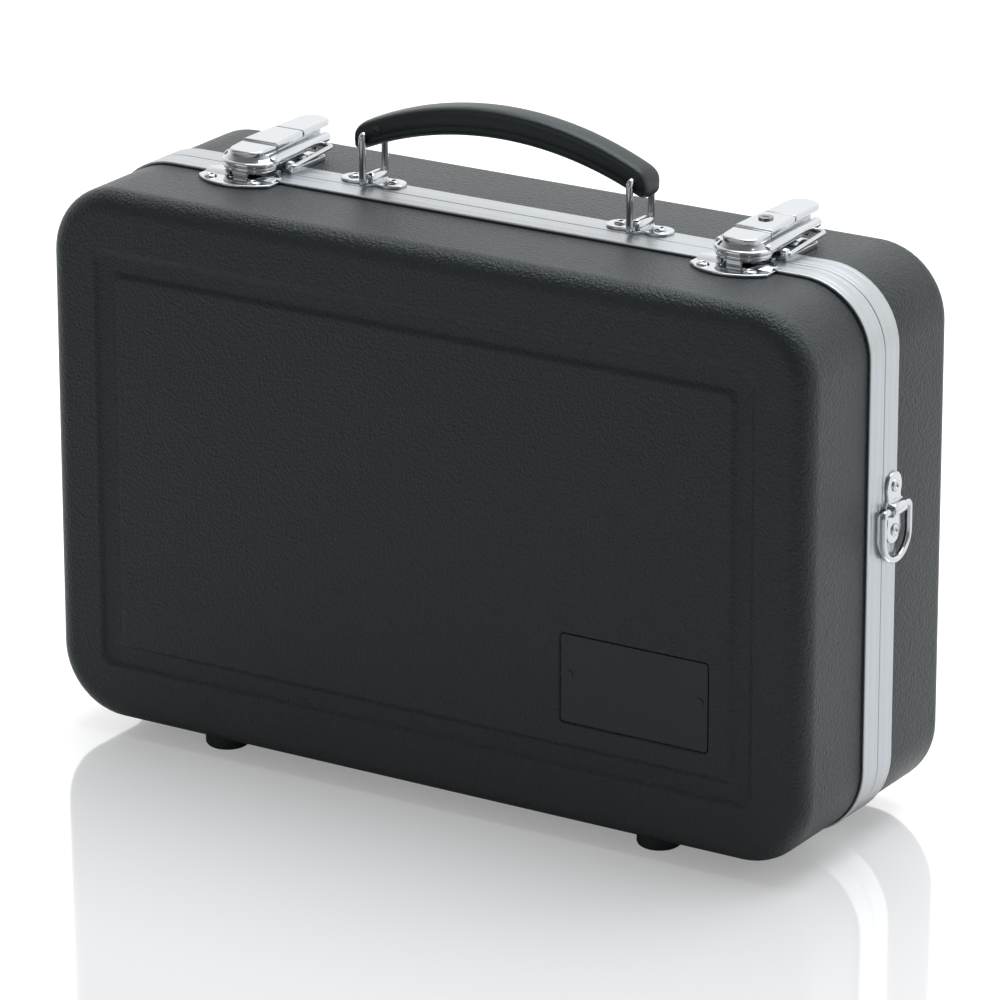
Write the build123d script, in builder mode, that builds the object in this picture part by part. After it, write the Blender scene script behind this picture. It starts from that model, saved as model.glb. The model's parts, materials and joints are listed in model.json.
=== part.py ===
"""A moulded clarinet case that stands on its bottom edge.

Two tub-shaped shells meet at a seam edged with aluminium valance strips. The front tub is the
lid and the rear tub carries the instrument tray. X runs along the case, Y from front to back
and Z up. The origin is on the floor under the middle of the case. All sizes are millimetres.
"""

import os
from math import radians, sqrt, tan

from build123d import *

os.makedirs("parts", exist_ok=True)

# Outline of the case at the valance, seen from the front
valance_width = 350.0
valance_height = 226.0
valance_corner = 30.0

# Valance strips: a channel that wraps the rim of each shell
strip_width = 11.2
strip_wall = 1.0
strip_web = 1.2
inner_flange_depth = 8.0
seam_gap = 0.3

# Shells
shell_wall = 3.0
shell_fit = 0.1
front_depth = 57.3
rear_depth = 54.5
front_edge_radius = 9.0
rear_edge_radius = 7.0

# Sunk channel that frames a flush panel on each large face
panel_side_margin = 24.5
panel_upper_margin = 26.0
panel_channel = 8.6
panel_channel_depth = 1.2
channel_taper = 40.0
panel_channel_corner = 5.0
panel_corner = 3.0

# Badge pocket low on the right of the front panel
badge_width = 65.5
badge_height = 36.0
badge_thickness = 0.5
badge_fit = 0.5
badge_pocket_depth = 1.0
badge_corner = 2.0
badge_side_margin = 10.35
badge_lower_margin = 10.0
badge_rivet_inset = 3.65
badge_rivet_rise = 1.8
badge_rivet_radius = 1.4
badge_rivet_head = 0.3

# Feet
foot_radius = 9.0
foot_height = 6.0
foot_edge_radius = 2.0
foot_side_inset = 73.5
front_foot_inset = 16.3
rear_foot_inset = 15.5
foot_screw_radius = 1.8
foot_screw_head_radius = 3.4
foot_screw_head_height = 1.8
foot_screw_sink = 2.6
foot_screw_slot_length = 5.0
foot_screw_slot_width = 0.7

# Rivets and running fits
rivet_shank_radius = 1.5
rivet_head_radius = 2.6
rivet_head_height = 1.0
rivet_head_edge = 0.8
rivet_dimple_radius = 1.2
rivet_dimple_depth = 0.6
rivet_fit = 0.05
running_fit = 0.08
hole_overrun = 1.0
joint_overlap = 0.1

# Hinges under the bottom of the seam
hinge_side_inset = 75.0
hinge_length = 46.0
hinge_leaf_width = 11.0
hinge_leaf_thickness = 1.0
hinge_knuckle_radius = 1.9
hinge_knuckle_gap = 0.3
hinge_pin_radius = 0.9
hinge_axis_drop = 2.2
hinge_rivet_spacing = 32.0
hinge_rivet_setback = 7.0
hinge_knuckle_count = 5

# Two-eared plates that hold the handle bails and the strap rings
plate_length = 29.0
plate_width = 13.6
plate_thickness = 1.2
plate_rivet_spacing = 18.0
plate_setback = 7.4
plate_waist = 10.0
plate_ear_radius = 5.6
tunnel_length = 9.6
tunnel_wall = 1.3
tunnel_foot = 0.6
wire_radius = 1.4
wire_rise = 1.9
wire_bend = 1.8

# Handle
handle_offset_x = 1.0
handle_pivot_inset = 5.6
handle_pivot_rise = 19.2
grip_length = 134.0
grip_width = 13.0
grip_under_crown = 27.7
grip_top_crown = 39.6
grip_under_radius = 156.0
grip_top_radius = 151.0
grip_end_radius = 4.4
grip_edge_radius = 2.8
grip_side_gap = 0.4
grip_pin_depth = 4.0
grip_rivet_radius = 1.2
grip_rivet_head_radius = 1.9
grip_rivet_head_height = 0.7
grip_left_rivet_x = 6.0
grip_left_rivet_rise = 2.7
grip_right_rivet_x = 3.2
grip_right_rivet_rise = 1.6

# Strap rings on the two ends
ring_plate_height = 20.1
ring_half_width = 10.1
ring_side_length = 10.6

# Latches on the top: how far in from the ends
latch_left_inset = 65.2
latch_right_inset = 58.5

# Catch plate on the lid
catch_half_width = 17.0
catch_front = 26.0
catch_shoulder = 18.5
catch_side = 9.8
catch_neck_half_width = 11.0
catch_neck = 4.0
catch_back = 0.9
catch_thickness = 1.2
catch_rivet_x = 10.3
catch_rivet_setback = 19.8
catch_lip_half_width = 3.4
catch_lip_setback = 12.9
catch_lip_thickness = 1.4
catch_lip_top = 4.4
catch_lip_lean = 8.0

# Latch base on the body, with the ears of the bail
base_front = 0.6
base_length = 27.0
base_thickness = 1.2
base_ear_inner = 12.9
base_ear_thickness = 1.3
base_ear_radius = 2.3
base_rivet_x = 6.5
base_rivet_setback = 19.0

# Latch bail: a wire that carries the hasp
bail_wire_radius = 1.0
bail_front = 1.2
bail_front_rise = 2.6
bail_rear = 29.5
bail_rear_rise = 4.4
bail_half_width = 15.4
bail_bend = 2.4
bail_pin_overlap = 1.9
bail_pin_bend = 1.2

# Hasp plate: a round front, and rolled sides that draw together towards the back
hasp_rise = 5.2
hasp_thickness = 1.2
hasp_half_width = 12.5
hasp_rear_half_width = 10.4
hasp_front = 16.6
hasp_corner = 11.5
hasp_rear = 36.0
hasp_rim_wall = 1.2
hasp_rim_bottom = 2.3
hasp_rim_back = 5.0
hasp_roll_radius = 2.1
hasp_roll_front = 7.0
hasp_lug_inner = 5.6
hasp_lug_outer = 9.6
hasp_lug_half_length = 3.0
hasp_lug_bottom = 2.2

# Hasp cover: front tab, middle and finger tip, narrower towards the back
cover_half_width = 8.3
cover_rear_half_width = 7.1
cover_cap_rise = 8.1
cover_foot_gap = 0.3
cone_foot_inset = 1.3
cone_top_inset = 2.8
tab_front = 13.2
tab_front_half_width = 7.6
tab_back = 0.2
tab_top = 10.6
tab_corner = 5.5
middle_back = 20.6
middle_top = 11.8
cover_groove = 0.7
cover_web_top = 8.6
finger_tip = 44.3
finger_corner = 6.6
finger_top = 11.5
finger_thickness = 2.2
finger_web_inset = 0.6
finger_web_back = 34.0
cover_edge_radius = 0.9

# Lock plug in the right cover
plug_radius = 3.0
plug_x = -1.4
plug_y = 12.6
plug_depth = 3.6
plug_proud = 0.4
key_slot_length = 3.2
key_slot_width = 0.9
key_slot_depth = 1.6

# Instrument tray in the body, lining in the lid
lining_fit = 0.4
tray_top_setback = 3.0
lining_side = 3.0
lining_pad = 12.0
lining_edge_radius = 8.0
well_end_radius = 3.0

# Places worked out from the sizes above
shell_width = valance_width - 2 * (strip_wall + shell_fit)
shell_height = valance_height - 2 * (strip_wall + shell_fit)
shell_corner = valance_corner - strip_wall - shell_fit
seam_y = (front_depth - rear_depth) / 2
middle_z = foot_height + shell_height / 2
top_z = middle_z + valance_height / 2
bottom_z = middle_z - valance_height / 2
shell_top_z = middle_z + shell_height / 2
side_x = valance_width / 2
panel_channel_width = valance_width - 2 * panel_side_margin
panel_channel_height = valance_height - 2 * panel_upper_margin
channel_slope = panel_channel_depth * tan(radians(channel_taper))
badge_x = panel_channel_width / 2 - panel_channel - badge_side_margin - badge_width / 2
badge_drop = panel_channel_height / 2 - panel_channel - badge_lower_margin - badge_height / 2
badge_rivet_spacing = badge_width - 2 * badge_rivet_inset
foot_spacing_x = valance_width - 2 * foot_side_inset
front_foot_setback = front_depth - front_foot_inset
rear_foot_setback = rear_depth - rear_foot_inset
hinge_spacing = valance_width - 2 * hinge_side_inset
handle_pivot_spacing = grip_length - 2 * handle_pivot_inset
latch_left_x = latch_left_inset - side_x
latch_right_x = side_x - latch_right_inset
front_y = seam_y - front_depth
rear_y = seam_y + rear_depth
rim_setback = seam_gap / 2 + strip_web + shell_fit
hinge_z = bottom_z - hinge_axis_drop
plate_y = seam_y + plate_setback
catch_seat_z = shell_top_z + shell_fit + catch_thickness


def upright(y):
    """A plane seen from the front at depth y: its own y runs up and its normal points forwards."""
    return Plane(origin=(0, y, middle_z), x_dir=(1, 0, 0), z_dir=(0, -1, 0))


def level(z, x=0.0, y=seam_y):
    """A level plane at height z, centred on x and on the seam unless told otherwise."""
    return Plane(origin=(x, y, z), x_dir=(1, 0, 0), z_dir=(0, 0, 1))


def across(x, z=0.0):
    """A plane across the case at x, whose own x runs back from the seam and own y up."""
    return Plane(origin=(x, seam_y, z), x_dir=(0, 1, 0), z_dir=(1, 0, 0))


def save(part, name):
    """Gives a finished piece its label and writes it under that name."""
    part.label = name
    export_step(part, f"parts/{name}.step")


def rivet_points(spacing, y):
    """Two places in a row along the plane's own x."""
    return [(-spacing / 2, y), (spacing / 2, y)]


def make_shell(direction, depth, edge_radius, holes):
    """One tub: a filleted block hollowed to its wall, with its panel channel and rivet holes.

    direction is 1 for the front tub and -1 for the rear one.
    """
    rim_y = seam_y - direction * rim_setback
    face_y = seam_y - direction * depth
    with BuildPart() as shell:
        with BuildSketch(upright(rim_y)):
            RectangleRounded(shell_width, shell_height, shell_corner)
        extrude(amount=direction * (depth - rim_setback))
        outer = shell.faces().sort_by(Axis.Y)[0 if direction > 0 else -1]
        fillet(outer.edges(), edge_radius)
        mouth = shell.faces().sort_by(Axis.Y)[-1 if direction > 0 else 0]
        offset(amount=-shell_wall, openings=mouth)
        with BuildSketch(upright(face_y)):
            RectangleRounded(
                panel_channel_width + channel_slope,
                panel_channel_height + channel_slope,
                panel_channel_corner,
            )
            RectangleRounded(
                panel_channel_width - 2 * panel_channel - channel_slope,
                panel_channel_height - 2 * panel_channel - channel_slope,
                panel_corner,
                mode=Mode.SUBTRACT,
            )
        extrude(
            amount=-direction * panel_channel_depth,
            taper=channel_taper,
            mode=Mode.SUBTRACT,
        )
        if direction > 0:
            with BuildSketch(upright(face_y)):
                with Locations((badge_x, -badge_drop)):
                    RectangleRounded(
                        badge_width + 2 * badge_fit, badge_height + 2 * badge_fit, badge_corner
                    )
            extrude(amount=-badge_pocket_depth, mode=Mode.SUBTRACT)
            with BuildSketch(upright(face_y)):
                with Locations(*badge_rivet_places):
                    Circle(badge_rivet_radius + rivet_fit)
            extrude(amount=-shell_wall - shell_fit, mode=Mode.SUBTRACT)
        for plane, points, radius in holes:
            with BuildSketch(plane):
                with Locations(*points):
                    Circle(radius + rivet_fit)
            extrude(amount=-through_wall, mode=Mode.SUBTRACT)
    return shell.part


def make_valance(direction, holes):
    """One strip: outer flange, web at the seam and inner flange, all round the rim."""
    seam_face = seam_y - direction * seam_gap / 2
    band = strip_wall + shell_fit + shell_wall + shell_fit
    with BuildPart() as strip:
        with BuildSketch(upright(seam_face)):
            RectangleRounded(valance_width, valance_height, valance_corner)
            RectangleRounded(
                valance_width - 2 * strip_wall,
                valance_height - 2 * strip_wall,
                valance_corner - strip_wall,
                mode=Mode.SUBTRACT,
            )
        extrude(amount=direction * (strip_width - seam_gap / 2))
        with BuildSketch(upright(seam_face)):
            RectangleRounded(valance_width, valance_height, valance_corner)
            inset = band + strip_wall
            RectangleRounded(
                valance_width - 2 * inset,
                valance_height - 2 * inset,
                valance_corner - inset,
                mode=Mode.SUBTRACT,
            )
        extrude(amount=direction * strip_web)
        with BuildSketch(upright(seam_face)):
            RectangleRounded(
                valance_width - 2 * band, valance_height - 2 * band, valance_corner - band
            )
            RectangleRounded(
                valance_width - 2 * inset,
                valance_height - 2 * inset,
                valance_corner - inset,
                mode=Mode.SUBTRACT,
            )
        extrude(amount=direction * inner_flange_depth)
        for plane, points, radius in holes:
            with BuildSketch(plane):
                with Locations(*points):
                    Circle(radius + rivet_fit)
            extrude(amount=-through_wall, mode=Mode.SUBTRACT)
    return strip.part


def make_rivets(seat, points, length):
    """Tubular rivets: low domed heads with a dimple on the seat plane, and shanks below it."""
    with BuildPart() as rivets:
        with BuildSketch(seat):
            with Locations(*points):
                Circle(rivet_head_radius)
        extrude(amount=rivet_head_height)
        rims = rivets.edges().filter_by(GeomType.CIRCLE).sort_by(seat_axis(seat))[-len(points):]
        fillet(rims, rivet_head_edge)
        with BuildSketch(seat.offset(rivet_head_height)):
            with Locations(*points):
                Circle(rivet_dimple_radius)
        extrude(amount=-rivet_dimple_depth, mode=Mode.SUBTRACT)
        with BuildSketch(seat):
            with Locations(*points):
                Circle(rivet_shank_radius)
        extrude(amount=-length)
    return rivets.part


def seat_axis(seat):
    """The line out of a seat plane, used to find what stands highest on it."""
    return Axis(seat.origin, seat.z_dir)


# Walls that a rivet hole passes: deeper than shell and strip together
through_wall = plate_thickness + strip_wall + shell_wall + 2 * shell_fit + hole_overrun

badge_rivet_places = [
    (badge_x - badge_rivet_spacing / 2, badge_rivet_rise - badge_drop),
    (badge_x + badge_rivet_spacing / 2, badge_rivet_rise - badge_drop),
]

# Rivet places: each is a plane on the outside and points on it
handle_plate_x = [
    handle_offset_x - handle_pivot_spacing / 2,
    handle_offset_x + handle_pivot_spacing / 2,
]
handle_planes = [level(top_z, x, plate_y) for x in handle_plate_x]
ring_plate_z = middle_z + ring_plate_height
left_plane = Plane(origin=(-side_x, plate_y, ring_plate_z), x_dir=(0, 0, 1), z_dir=(-1, 0, 0))
right_plane = Plane(origin=(side_x, plate_y, ring_plate_z), x_dir=(0, 0, 1), z_dir=(1, 0, 0))
plate_points = rivet_points(plate_rivet_spacing, 0)
hinge_planes = [
    Plane(origin=(x, seam_y, bottom_z), x_dir=(1, 0, 0), z_dir=(0, 0, -1))
    for x in (-hinge_spacing / 2, hinge_spacing / 2)
]
# On the hinge planes the own y runs forwards, so the lid's rivets have a positive one
lid_hinge_points = rivet_points(hinge_rivet_spacing, hinge_rivet_setback)
body_hinge_points = rivet_points(hinge_rivet_spacing, -hinge_rivet_setback)
latch_places = {"left": latch_left_x, "right": latch_right_x}
catch_points = rivet_points(2 * catch_rivet_x, -catch_rivet_setback)
base_points = rivet_points(2 * base_rivet_x, base_rivet_setback)
foot_plane = Plane(origin=(0, seam_y, middle_z - shell_height / 2), x_dir=(1, 0, 0), z_dir=(0, 0, -1))
front_foot_points = rivet_points(foot_spacing_x, front_foot_setback)
rear_foot_points = rivet_points(foot_spacing_x, -rear_foot_setback)

lid_holes = [(plane, lid_hinge_points, rivet_shank_radius) for plane in hinge_planes]
body_holes = [(plane, body_hinge_points, rivet_shank_radius) for plane in hinge_planes]
for plane in handle_planes + [left_plane, right_plane]:
    body_holes.append((plane, plate_points, rivet_shank_radius))

# The two strips take the rivets of the hinges, handle plates and strap plates
save(make_valance(1, lid_holes), "front_valance")
save(make_valance(-1, body_holes), "rear_valance")

# The shells take those and the rivets of the latches and the screws of the feet
for latch_x in latch_places.values():
    lid_holes.append((level(top_z, latch_x), catch_points, rivet_shank_radius))
    body_holes.append((level(top_z, latch_x), base_points, rivet_shank_radius))
lid_holes.append((foot_plane, front_foot_points, foot_screw_radius))
body_holes.append((foot_plane, rear_foot_points, foot_screw_radius))
save(make_shell(1, front_depth, front_edge_radius, lid_holes), "front_shell")
save(make_shell(-1, rear_depth, rear_edge_radius, body_holes), "rear_shell")

# Badge plate in its pocket, left plain, with two small rivets
pocket_y = front_y + badge_pocket_depth
with BuildPart() as badge_plate:
    with BuildSketch(upright(pocket_y)):
        with Locations((badge_x, -badge_drop)):
            RectangleRounded(badge_width, badge_height, badge_corner - badge_fit)
        with Locations(*badge_rivet_places):
            Circle(badge_rivet_radius + rivet_fit, mode=Mode.SUBTRACT)
    extrude(amount=badge_thickness)
save(badge_plate.part, "badge_plate")

with BuildPart() as badge_rivets:
    with BuildSketch(upright(pocket_y - badge_thickness)):
        with Locations(*badge_rivet_places):
            Circle(badge_rivet_radius + badge_rivet_head)
    extrude(amount=badge_rivet_head)
    with BuildSketch(upright(pocket_y - badge_thickness)):
        with Locations(*badge_rivet_places):
            Circle(badge_rivet_radius)
    extrude(amount=-badge_thickness - (shell_wall - badge_pocket_depth))
save(badge_rivets.part, "badge_rivets")


def make_feet(points):
    """Round feet with a rounded lower edge and a sunk seat for the screw head."""
    with BuildPart() as feet:
        with BuildSketch(foot_plane):
            with Locations(*points):
                Circle(foot_radius)
        extrude(amount=foot_height)
        fillet(feet.edges().sort_by(Axis.Z)[: len(points)], foot_edge_radius)
        with BuildSketch(foot_plane.offset(foot_height - foot_screw_sink)):
            with Locations(*points):
                Circle(foot_screw_head_radius + rivet_fit)
        extrude(amount=foot_screw_sink, mode=Mode.SUBTRACT)
        with BuildSketch(foot_plane):
            with Locations(*points):
                Circle(foot_screw_radius + rivet_fit)
        extrude(amount=foot_height, mode=Mode.SUBTRACT)
    return feet.part


def make_foot_screws(points):
    """Pan-headed screws that pull the feet against the shell."""
    seat = foot_plane.offset(foot_height - foot_screw_sink)
    with BuildPart() as screws:
        with BuildSketch(seat):
            with Locations(*points):
                Circle(foot_screw_head_radius)
        extrude(amount=foot_screw_head_height)
        with BuildSketch(seat):
            with Locations(*points):
                Circle(foot_screw_radius)
        extrude(amount=-(foot_height - foot_screw_sink) - shell_wall)
        with BuildSketch(seat.offset(foot_screw_head_height)):
            with Locations(*points):
                Rectangle(foot_screw_slot_length, foot_screw_slot_width)
                Rectangle(foot_screw_slot_width, foot_screw_slot_length)
        extrude(amount=-foot_screw_head_height / 2, mode=Mode.SUBTRACT)
    return screws.part


save(make_feet(front_foot_points), "front_feet")
save(make_feet(rear_foot_points), "rear_feet")
save(make_foot_screws(front_foot_points), "front_foot_screws")
save(make_foot_screws(rear_foot_points), "rear_foot_screws")


def make_hinge_leaf(hinge_x, direction):
    """A leaf on the strip's outside with its share of the knuckles, bored for the pin.

    direction is 1 for the leaf on the lid, which has the even knuckles, and -1 for the body's.
    """
    knuckle = hinge_length / hinge_knuckle_count
    first = 1 if direction > 0 else 0
    numbers = range(first, hinge_knuckle_count, 2)
    starts = [hinge_x - hinge_length / 2 + n * knuckle for n in numbers]
    near = hinge_knuckle_radius + hinge_knuckle_gap
    with BuildPart() as leaf:
        for start in starts:
            with BuildSketch(across(start + hinge_knuckle_gap / 2, hinge_z)):
                Circle(hinge_knuckle_radius)
                with Locations((-direction * near / 2, hinge_axis_drop - hinge_leaf_thickness / 2)):
                    Rectangle(near, hinge_leaf_thickness)
                Circle(hinge_pin_radius + running_fit, mode=Mode.SUBTRACT)
            extrude(amount=knuckle - hinge_knuckle_gap)
        with BuildSketch(across(hinge_x - hinge_length / 2, hinge_z)):
            middle_y = -direction * (near + hinge_leaf_width) / 2
            with Locations((middle_y, hinge_axis_drop - hinge_leaf_thickness / 2)):
                Rectangle(hinge_leaf_width - near, hinge_leaf_thickness)
        extrude(amount=hinge_length)
        holes = lid_hinge_points if direction > 0 else body_hinge_points
        with BuildSketch(Plane(origin=(hinge_x, seam_y, bottom_z), x_dir=(1, 0, 0), z_dir=(0, 0, -1))):
            with Locations(*holes):
                Circle(rivet_shank_radius + rivet_fit)
        extrude(amount=hinge_leaf_thickness, mode=Mode.SUBTRACT)
    return leaf.part


def make_hinge_pin(hinge_x):
    """The pin runs the whole length of the knuckles."""
    with BuildPart() as pin:
        with BuildSketch(across(hinge_x - hinge_length / 2, hinge_z)):
            Circle(hinge_pin_radius)
        extrude(amount=hinge_length)
    return pin.part


rivet_in_strip = strip_wall + shell_fit + shell_wall
for side, hinge_x in (("left", -hinge_spacing / 2), ("right", hinge_spacing / 2)):
    save(make_hinge_leaf(hinge_x, 1), f"lid_hinge_leaf_{side}")
    save(make_hinge_leaf(hinge_x, -1), f"body_hinge_leaf_{side}")
    save(make_hinge_pin(hinge_x), f"hinge_pin_{side}")


def make_rivet_set(planes, points, seat_height, length):
    """The rivets of several like plates as one group."""
    parts = [make_rivets(plane.offset(seat_height), points, length) for plane in planes]
    return Compound(children=[solid for part in parts for solid in part.solids()])


hinge_rivet_length = hinge_leaf_thickness + rivet_in_strip
save(make_rivet_set(hinge_planes, lid_hinge_points, hinge_leaf_thickness, hinge_rivet_length),
     "lid_hinge_rivets")
save(make_rivet_set(hinge_planes, body_hinge_points, hinge_leaf_thickness, hinge_rivet_length),
     "body_hinge_rivets")


def make_eared_plate(plane):
    """A plate with two round ears and a raised tunnel across its middle for a wire."""
    tunnel_plane = Plane(
        origin=plane.from_local_coords((0, -tunnel_length / 2, wire_rise)),
        x_dir=plane.x_dir,
        z_dir=plane.y_dir,
    )
    tunnel_radius = wire_radius + running_fit + tunnel_wall
    with BuildPart() as plate:
        with BuildSketch(plane):
            Rectangle(plate_length - 2 * plate_ear_radius, plate_waist)
            with Locations(*rivet_points(plate_length - 2 * plate_ear_radius, 0)):
                Circle(plate_ear_radius)
            Rectangle(2 * (tunnel_radius + tunnel_foot), plate_width)
            with Locations(*plate_points):
                Circle(rivet_shank_radius + rivet_fit, mode=Mode.SUBTRACT)
        extrude(amount=plate_thickness)
        with BuildSketch(tunnel_plane):
            Circle(tunnel_radius)
            with Locations((0, tunnel_radius)):
                Rectangle(2 * tunnel_radius, 2 * tunnel_radius - 2 * wire_rise, mode=Mode.SUBTRACT)
        extrude(amount=tunnel_length)
        with BuildSketch(tunnel_plane.offset(-plate_width)):
            Circle(wire_radius + running_fit)
        extrude(amount=3 * plate_width, mode=Mode.SUBTRACT)
    return plate.part


for side, plane in zip(("left", "right"), handle_planes):
    save(make_eared_plate(plane), f"handle_plate_{side}")
for side, plane in (("left", left_plane), ("right", right_plane)):
    save(make_eared_plate(plane), f"strap_plate_{side}")
plate_rivet_length = plate_thickness + rivet_in_strip
save(make_rivet_set(handle_planes, plate_points, plate_thickness, plate_rivet_length),
     "handle_plate_rivets")
save(make_rivet_set([left_plane, right_plane], plate_points, plate_thickness, plate_rivet_length),
     "strap_plate_rivets")

# Handle bails: a bar through the tunnel, two legs and two ends turned into the grip
bail_low_z = top_z + wire_rise
bail_high_z = bail_low_z + handle_pivot_rise
leg_reach = grip_width / 2 + grip_side_gap + wire_radius
pin_reach = grip_width / 2 - grip_pin_depth
for side, x in zip(("left", "right"), handle_plate_x):
    with BuildPart() as handle_bail:
        with BuildLine():
            FilletPolyline(
                (x, plate_y - pin_reach, bail_high_z),
                (x, plate_y - leg_reach, bail_high_z),
                (x, plate_y - leg_reach, bail_low_z),
                (x, plate_y + leg_reach, bail_low_z),
                (x, plate_y + leg_reach, bail_high_z),
                (x, plate_y + pin_reach, bail_high_z),
                radius=wire_bend,
            )
        with BuildSketch(Plane(origin=(x, plate_y - pin_reach, bail_high_z), z_dir=(0, -1, 0))):
            Circle(wire_radius)
        sweep()
    save(handle_bail.part, f"handle_bail_{side}")

# Grip: a bar bowed upwards between two arcs, with its ends rounded
grip_half = grip_length / 2


def arc_drop(radius, half):
    """How far an arc falls from its crown at a given distance from the middle."""
    return radius - sqrt(radius**2 - half**2)


grip_plane = Plane(
    origin=(handle_offset_x, plate_y + grip_width / 2, top_z), x_dir=(1, 0, 0), z_dir=(0, -1, 0)
)
under_end = grip_under_crown - arc_drop(grip_under_radius, grip_half)
top_end = grip_top_crown - arc_drop(grip_top_radius, grip_half)
pivot_half = handle_pivot_spacing / 2
pivot_height = wire_rise + handle_pivot_rise
grip_rivet_places = [
    (-pivot_half + grip_left_rivet_x, pivot_height + grip_left_rivet_rise),
    (pivot_half + grip_right_rivet_x, pivot_height + grip_right_rivet_rise),
]
with BuildPart() as handle_grip:
    with BuildSketch(grip_plane) as grip_side:
        with BuildLine():
            ThreePointArc((-grip_half, under_end), (0, grip_under_crown), (grip_half, under_end))
            Line((grip_half, under_end), (grip_half, top_end))
            ThreePointArc((grip_half, top_end), (0, grip_top_crown), (-grip_half, top_end))
            Line((-grip_half, top_end), (-grip_half, under_end))
        make_face()
        fillet(grip_side.vertices(), grip_end_radius)
    extrude(amount=grip_width)
    fillet(handle_grip.faces().filter_by(Axis.Y).edges(), grip_edge_radius)
    for end_plane in (grip_plane, grip_plane.offset(grip_width - grip_pin_depth)):
        with BuildSketch(end_plane):
            with Locations((-pivot_half, pivot_height), (pivot_half, pivot_height)):
                Circle(wire_radius + running_fit)
        extrude(amount=grip_pin_depth, mode=Mode.SUBTRACT)
    with BuildSketch(grip_plane):
        with Locations(*grip_rivet_places):
            Circle(grip_rivet_radius + rivet_fit)
    extrude(amount=grip_width, mode=Mode.SUBTRACT)
save(handle_grip.part, "handle_grip")

with BuildPart() as grip_rivets:
    with BuildSketch(grip_plane.offset(-grip_rivet_head_height)):
        with Locations(*grip_rivet_places):
            Circle(grip_rivet_radius)
    extrude(amount=grip_width + 2 * grip_rivet_head_height)
    for head_plane in (grip_plane.offset(-grip_rivet_head_height), grip_plane.offset(grip_width)):
        with BuildSketch(head_plane):
            with Locations(*grip_rivet_places):
                Circle(grip_rivet_head_radius)
        extrude(amount=grip_rivet_head_height)
save(grip_rivets.part, "handle_grip_rivets")

# Strap rings: a straight bar in the tunnel, two sides and a round bow below
for side, direction in (("left", -1), ("right", 1)):
    ring_x = direction * (side_x + wire_rise)
    ring_plane = Plane(origin=(ring_x, plate_y, ring_plate_z), x_dir=(0, 1, 0), z_dir=(1, 0, 0))
    with BuildPart() as strap_ring:
        with BuildLine(ring_plane):
            Line((0, 0), (ring_half_width - wire_bend, 0))
            RadiusArc((ring_half_width - wire_bend, 0), (ring_half_width, -wire_bend), wire_bend)
            Line((ring_half_width, -wire_bend), (ring_half_width, -ring_side_length))
            ThreePointArc(
                (ring_half_width, -ring_side_length),
                (0, -ring_side_length - ring_half_width),
                (-ring_half_width, -ring_side_length),
            )
            Line((-ring_half_width, -ring_side_length), (-ring_half_width, -wire_bend))
            RadiusArc((-ring_half_width, -wire_bend), (-ring_half_width + wire_bend, 0), wire_bend)
            Line((-ring_half_width + wire_bend, 0), (0, 0))
        with BuildSketch(Plane(origin=ring_plane.origin, z_dir=(0, 1, 0))):
            Circle(wire_radius)
        sweep()
    save(strap_ring.part, f"strap_ring_{side}")


def make_catch(latch_x):
    """The catch on the lid: a winged plate that steps down in front of the strip, with a lip.

    The lip leans forwards and holds the hasp's rim.
    """
    with BuildPart() as catch:
        with BuildSketch(level(shell_top_z + shell_fit, latch_x)):
            with BuildLine():
                ThreePointArc(
                    (-catch_half_width, -catch_shoulder),
                    (0, -catch_front),
                    (catch_half_width, -catch_shoulder),
                )
                Polyline(
                    (catch_half_width, -catch_shoulder),
                    (catch_half_width, -catch_side),
                    (catch_neck_half_width, -catch_neck),
                    (catch_neck_half_width, -catch_back),
                    (-catch_neck_half_width, -catch_back),
                    (-catch_neck_half_width, -catch_neck),
                    (-catch_half_width, -catch_side),
                    (-catch_half_width, -catch_shoulder),
                )
            make_face()
        extrude(amount=top_z + catch_thickness - shell_top_z - shell_fit)
        # Room for the strip below the back, and a step down in front of it
        with BuildSketch(level(shell_top_z, latch_x)):
            with Locations((0, -strip_width / 2)):
                Rectangle(2 * catch_half_width, strip_width + 2 * shell_fit)
        extrude(amount=top_z - shell_top_z, mode=Mode.SUBTRACT)
        step = strip_width + shell_fit + catch_thickness
        with BuildSketch(level(catch_seat_z, latch_x)):
            with Locations((0, -(step + catch_front) / 2)):
                Rectangle(2 * catch_half_width, catch_front - step)
        extrude(amount=top_z + catch_thickness - catch_seat_z, mode=Mode.SUBTRACT)
        lip_height = top_z + catch_lip_top - catch_seat_z
        lean = lip_height * tan(radians(catch_lip_lean))
        with BuildSketch(across(latch_x - catch_lip_half_width, catch_seat_z)):
            with BuildLine():
                Polyline(
                    (-catch_lip_setback, 0),
                    (-catch_lip_setback - catch_lip_thickness, 0),
                    (-catch_lip_setback - catch_lip_thickness - lean, lip_height),
                    (-catch_lip_setback - lean, lip_height),
                    close=True,
                )
            make_face()
        extrude(amount=2 * catch_lip_half_width)
        with BuildSketch(level(catch_seat_z, latch_x)):
            with Locations(*catch_points):
                Circle(rivet_shank_radius + rivet_fit)
        extrude(amount=-through_wall, mode=Mode.SUBTRACT)
    return catch.part


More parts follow.
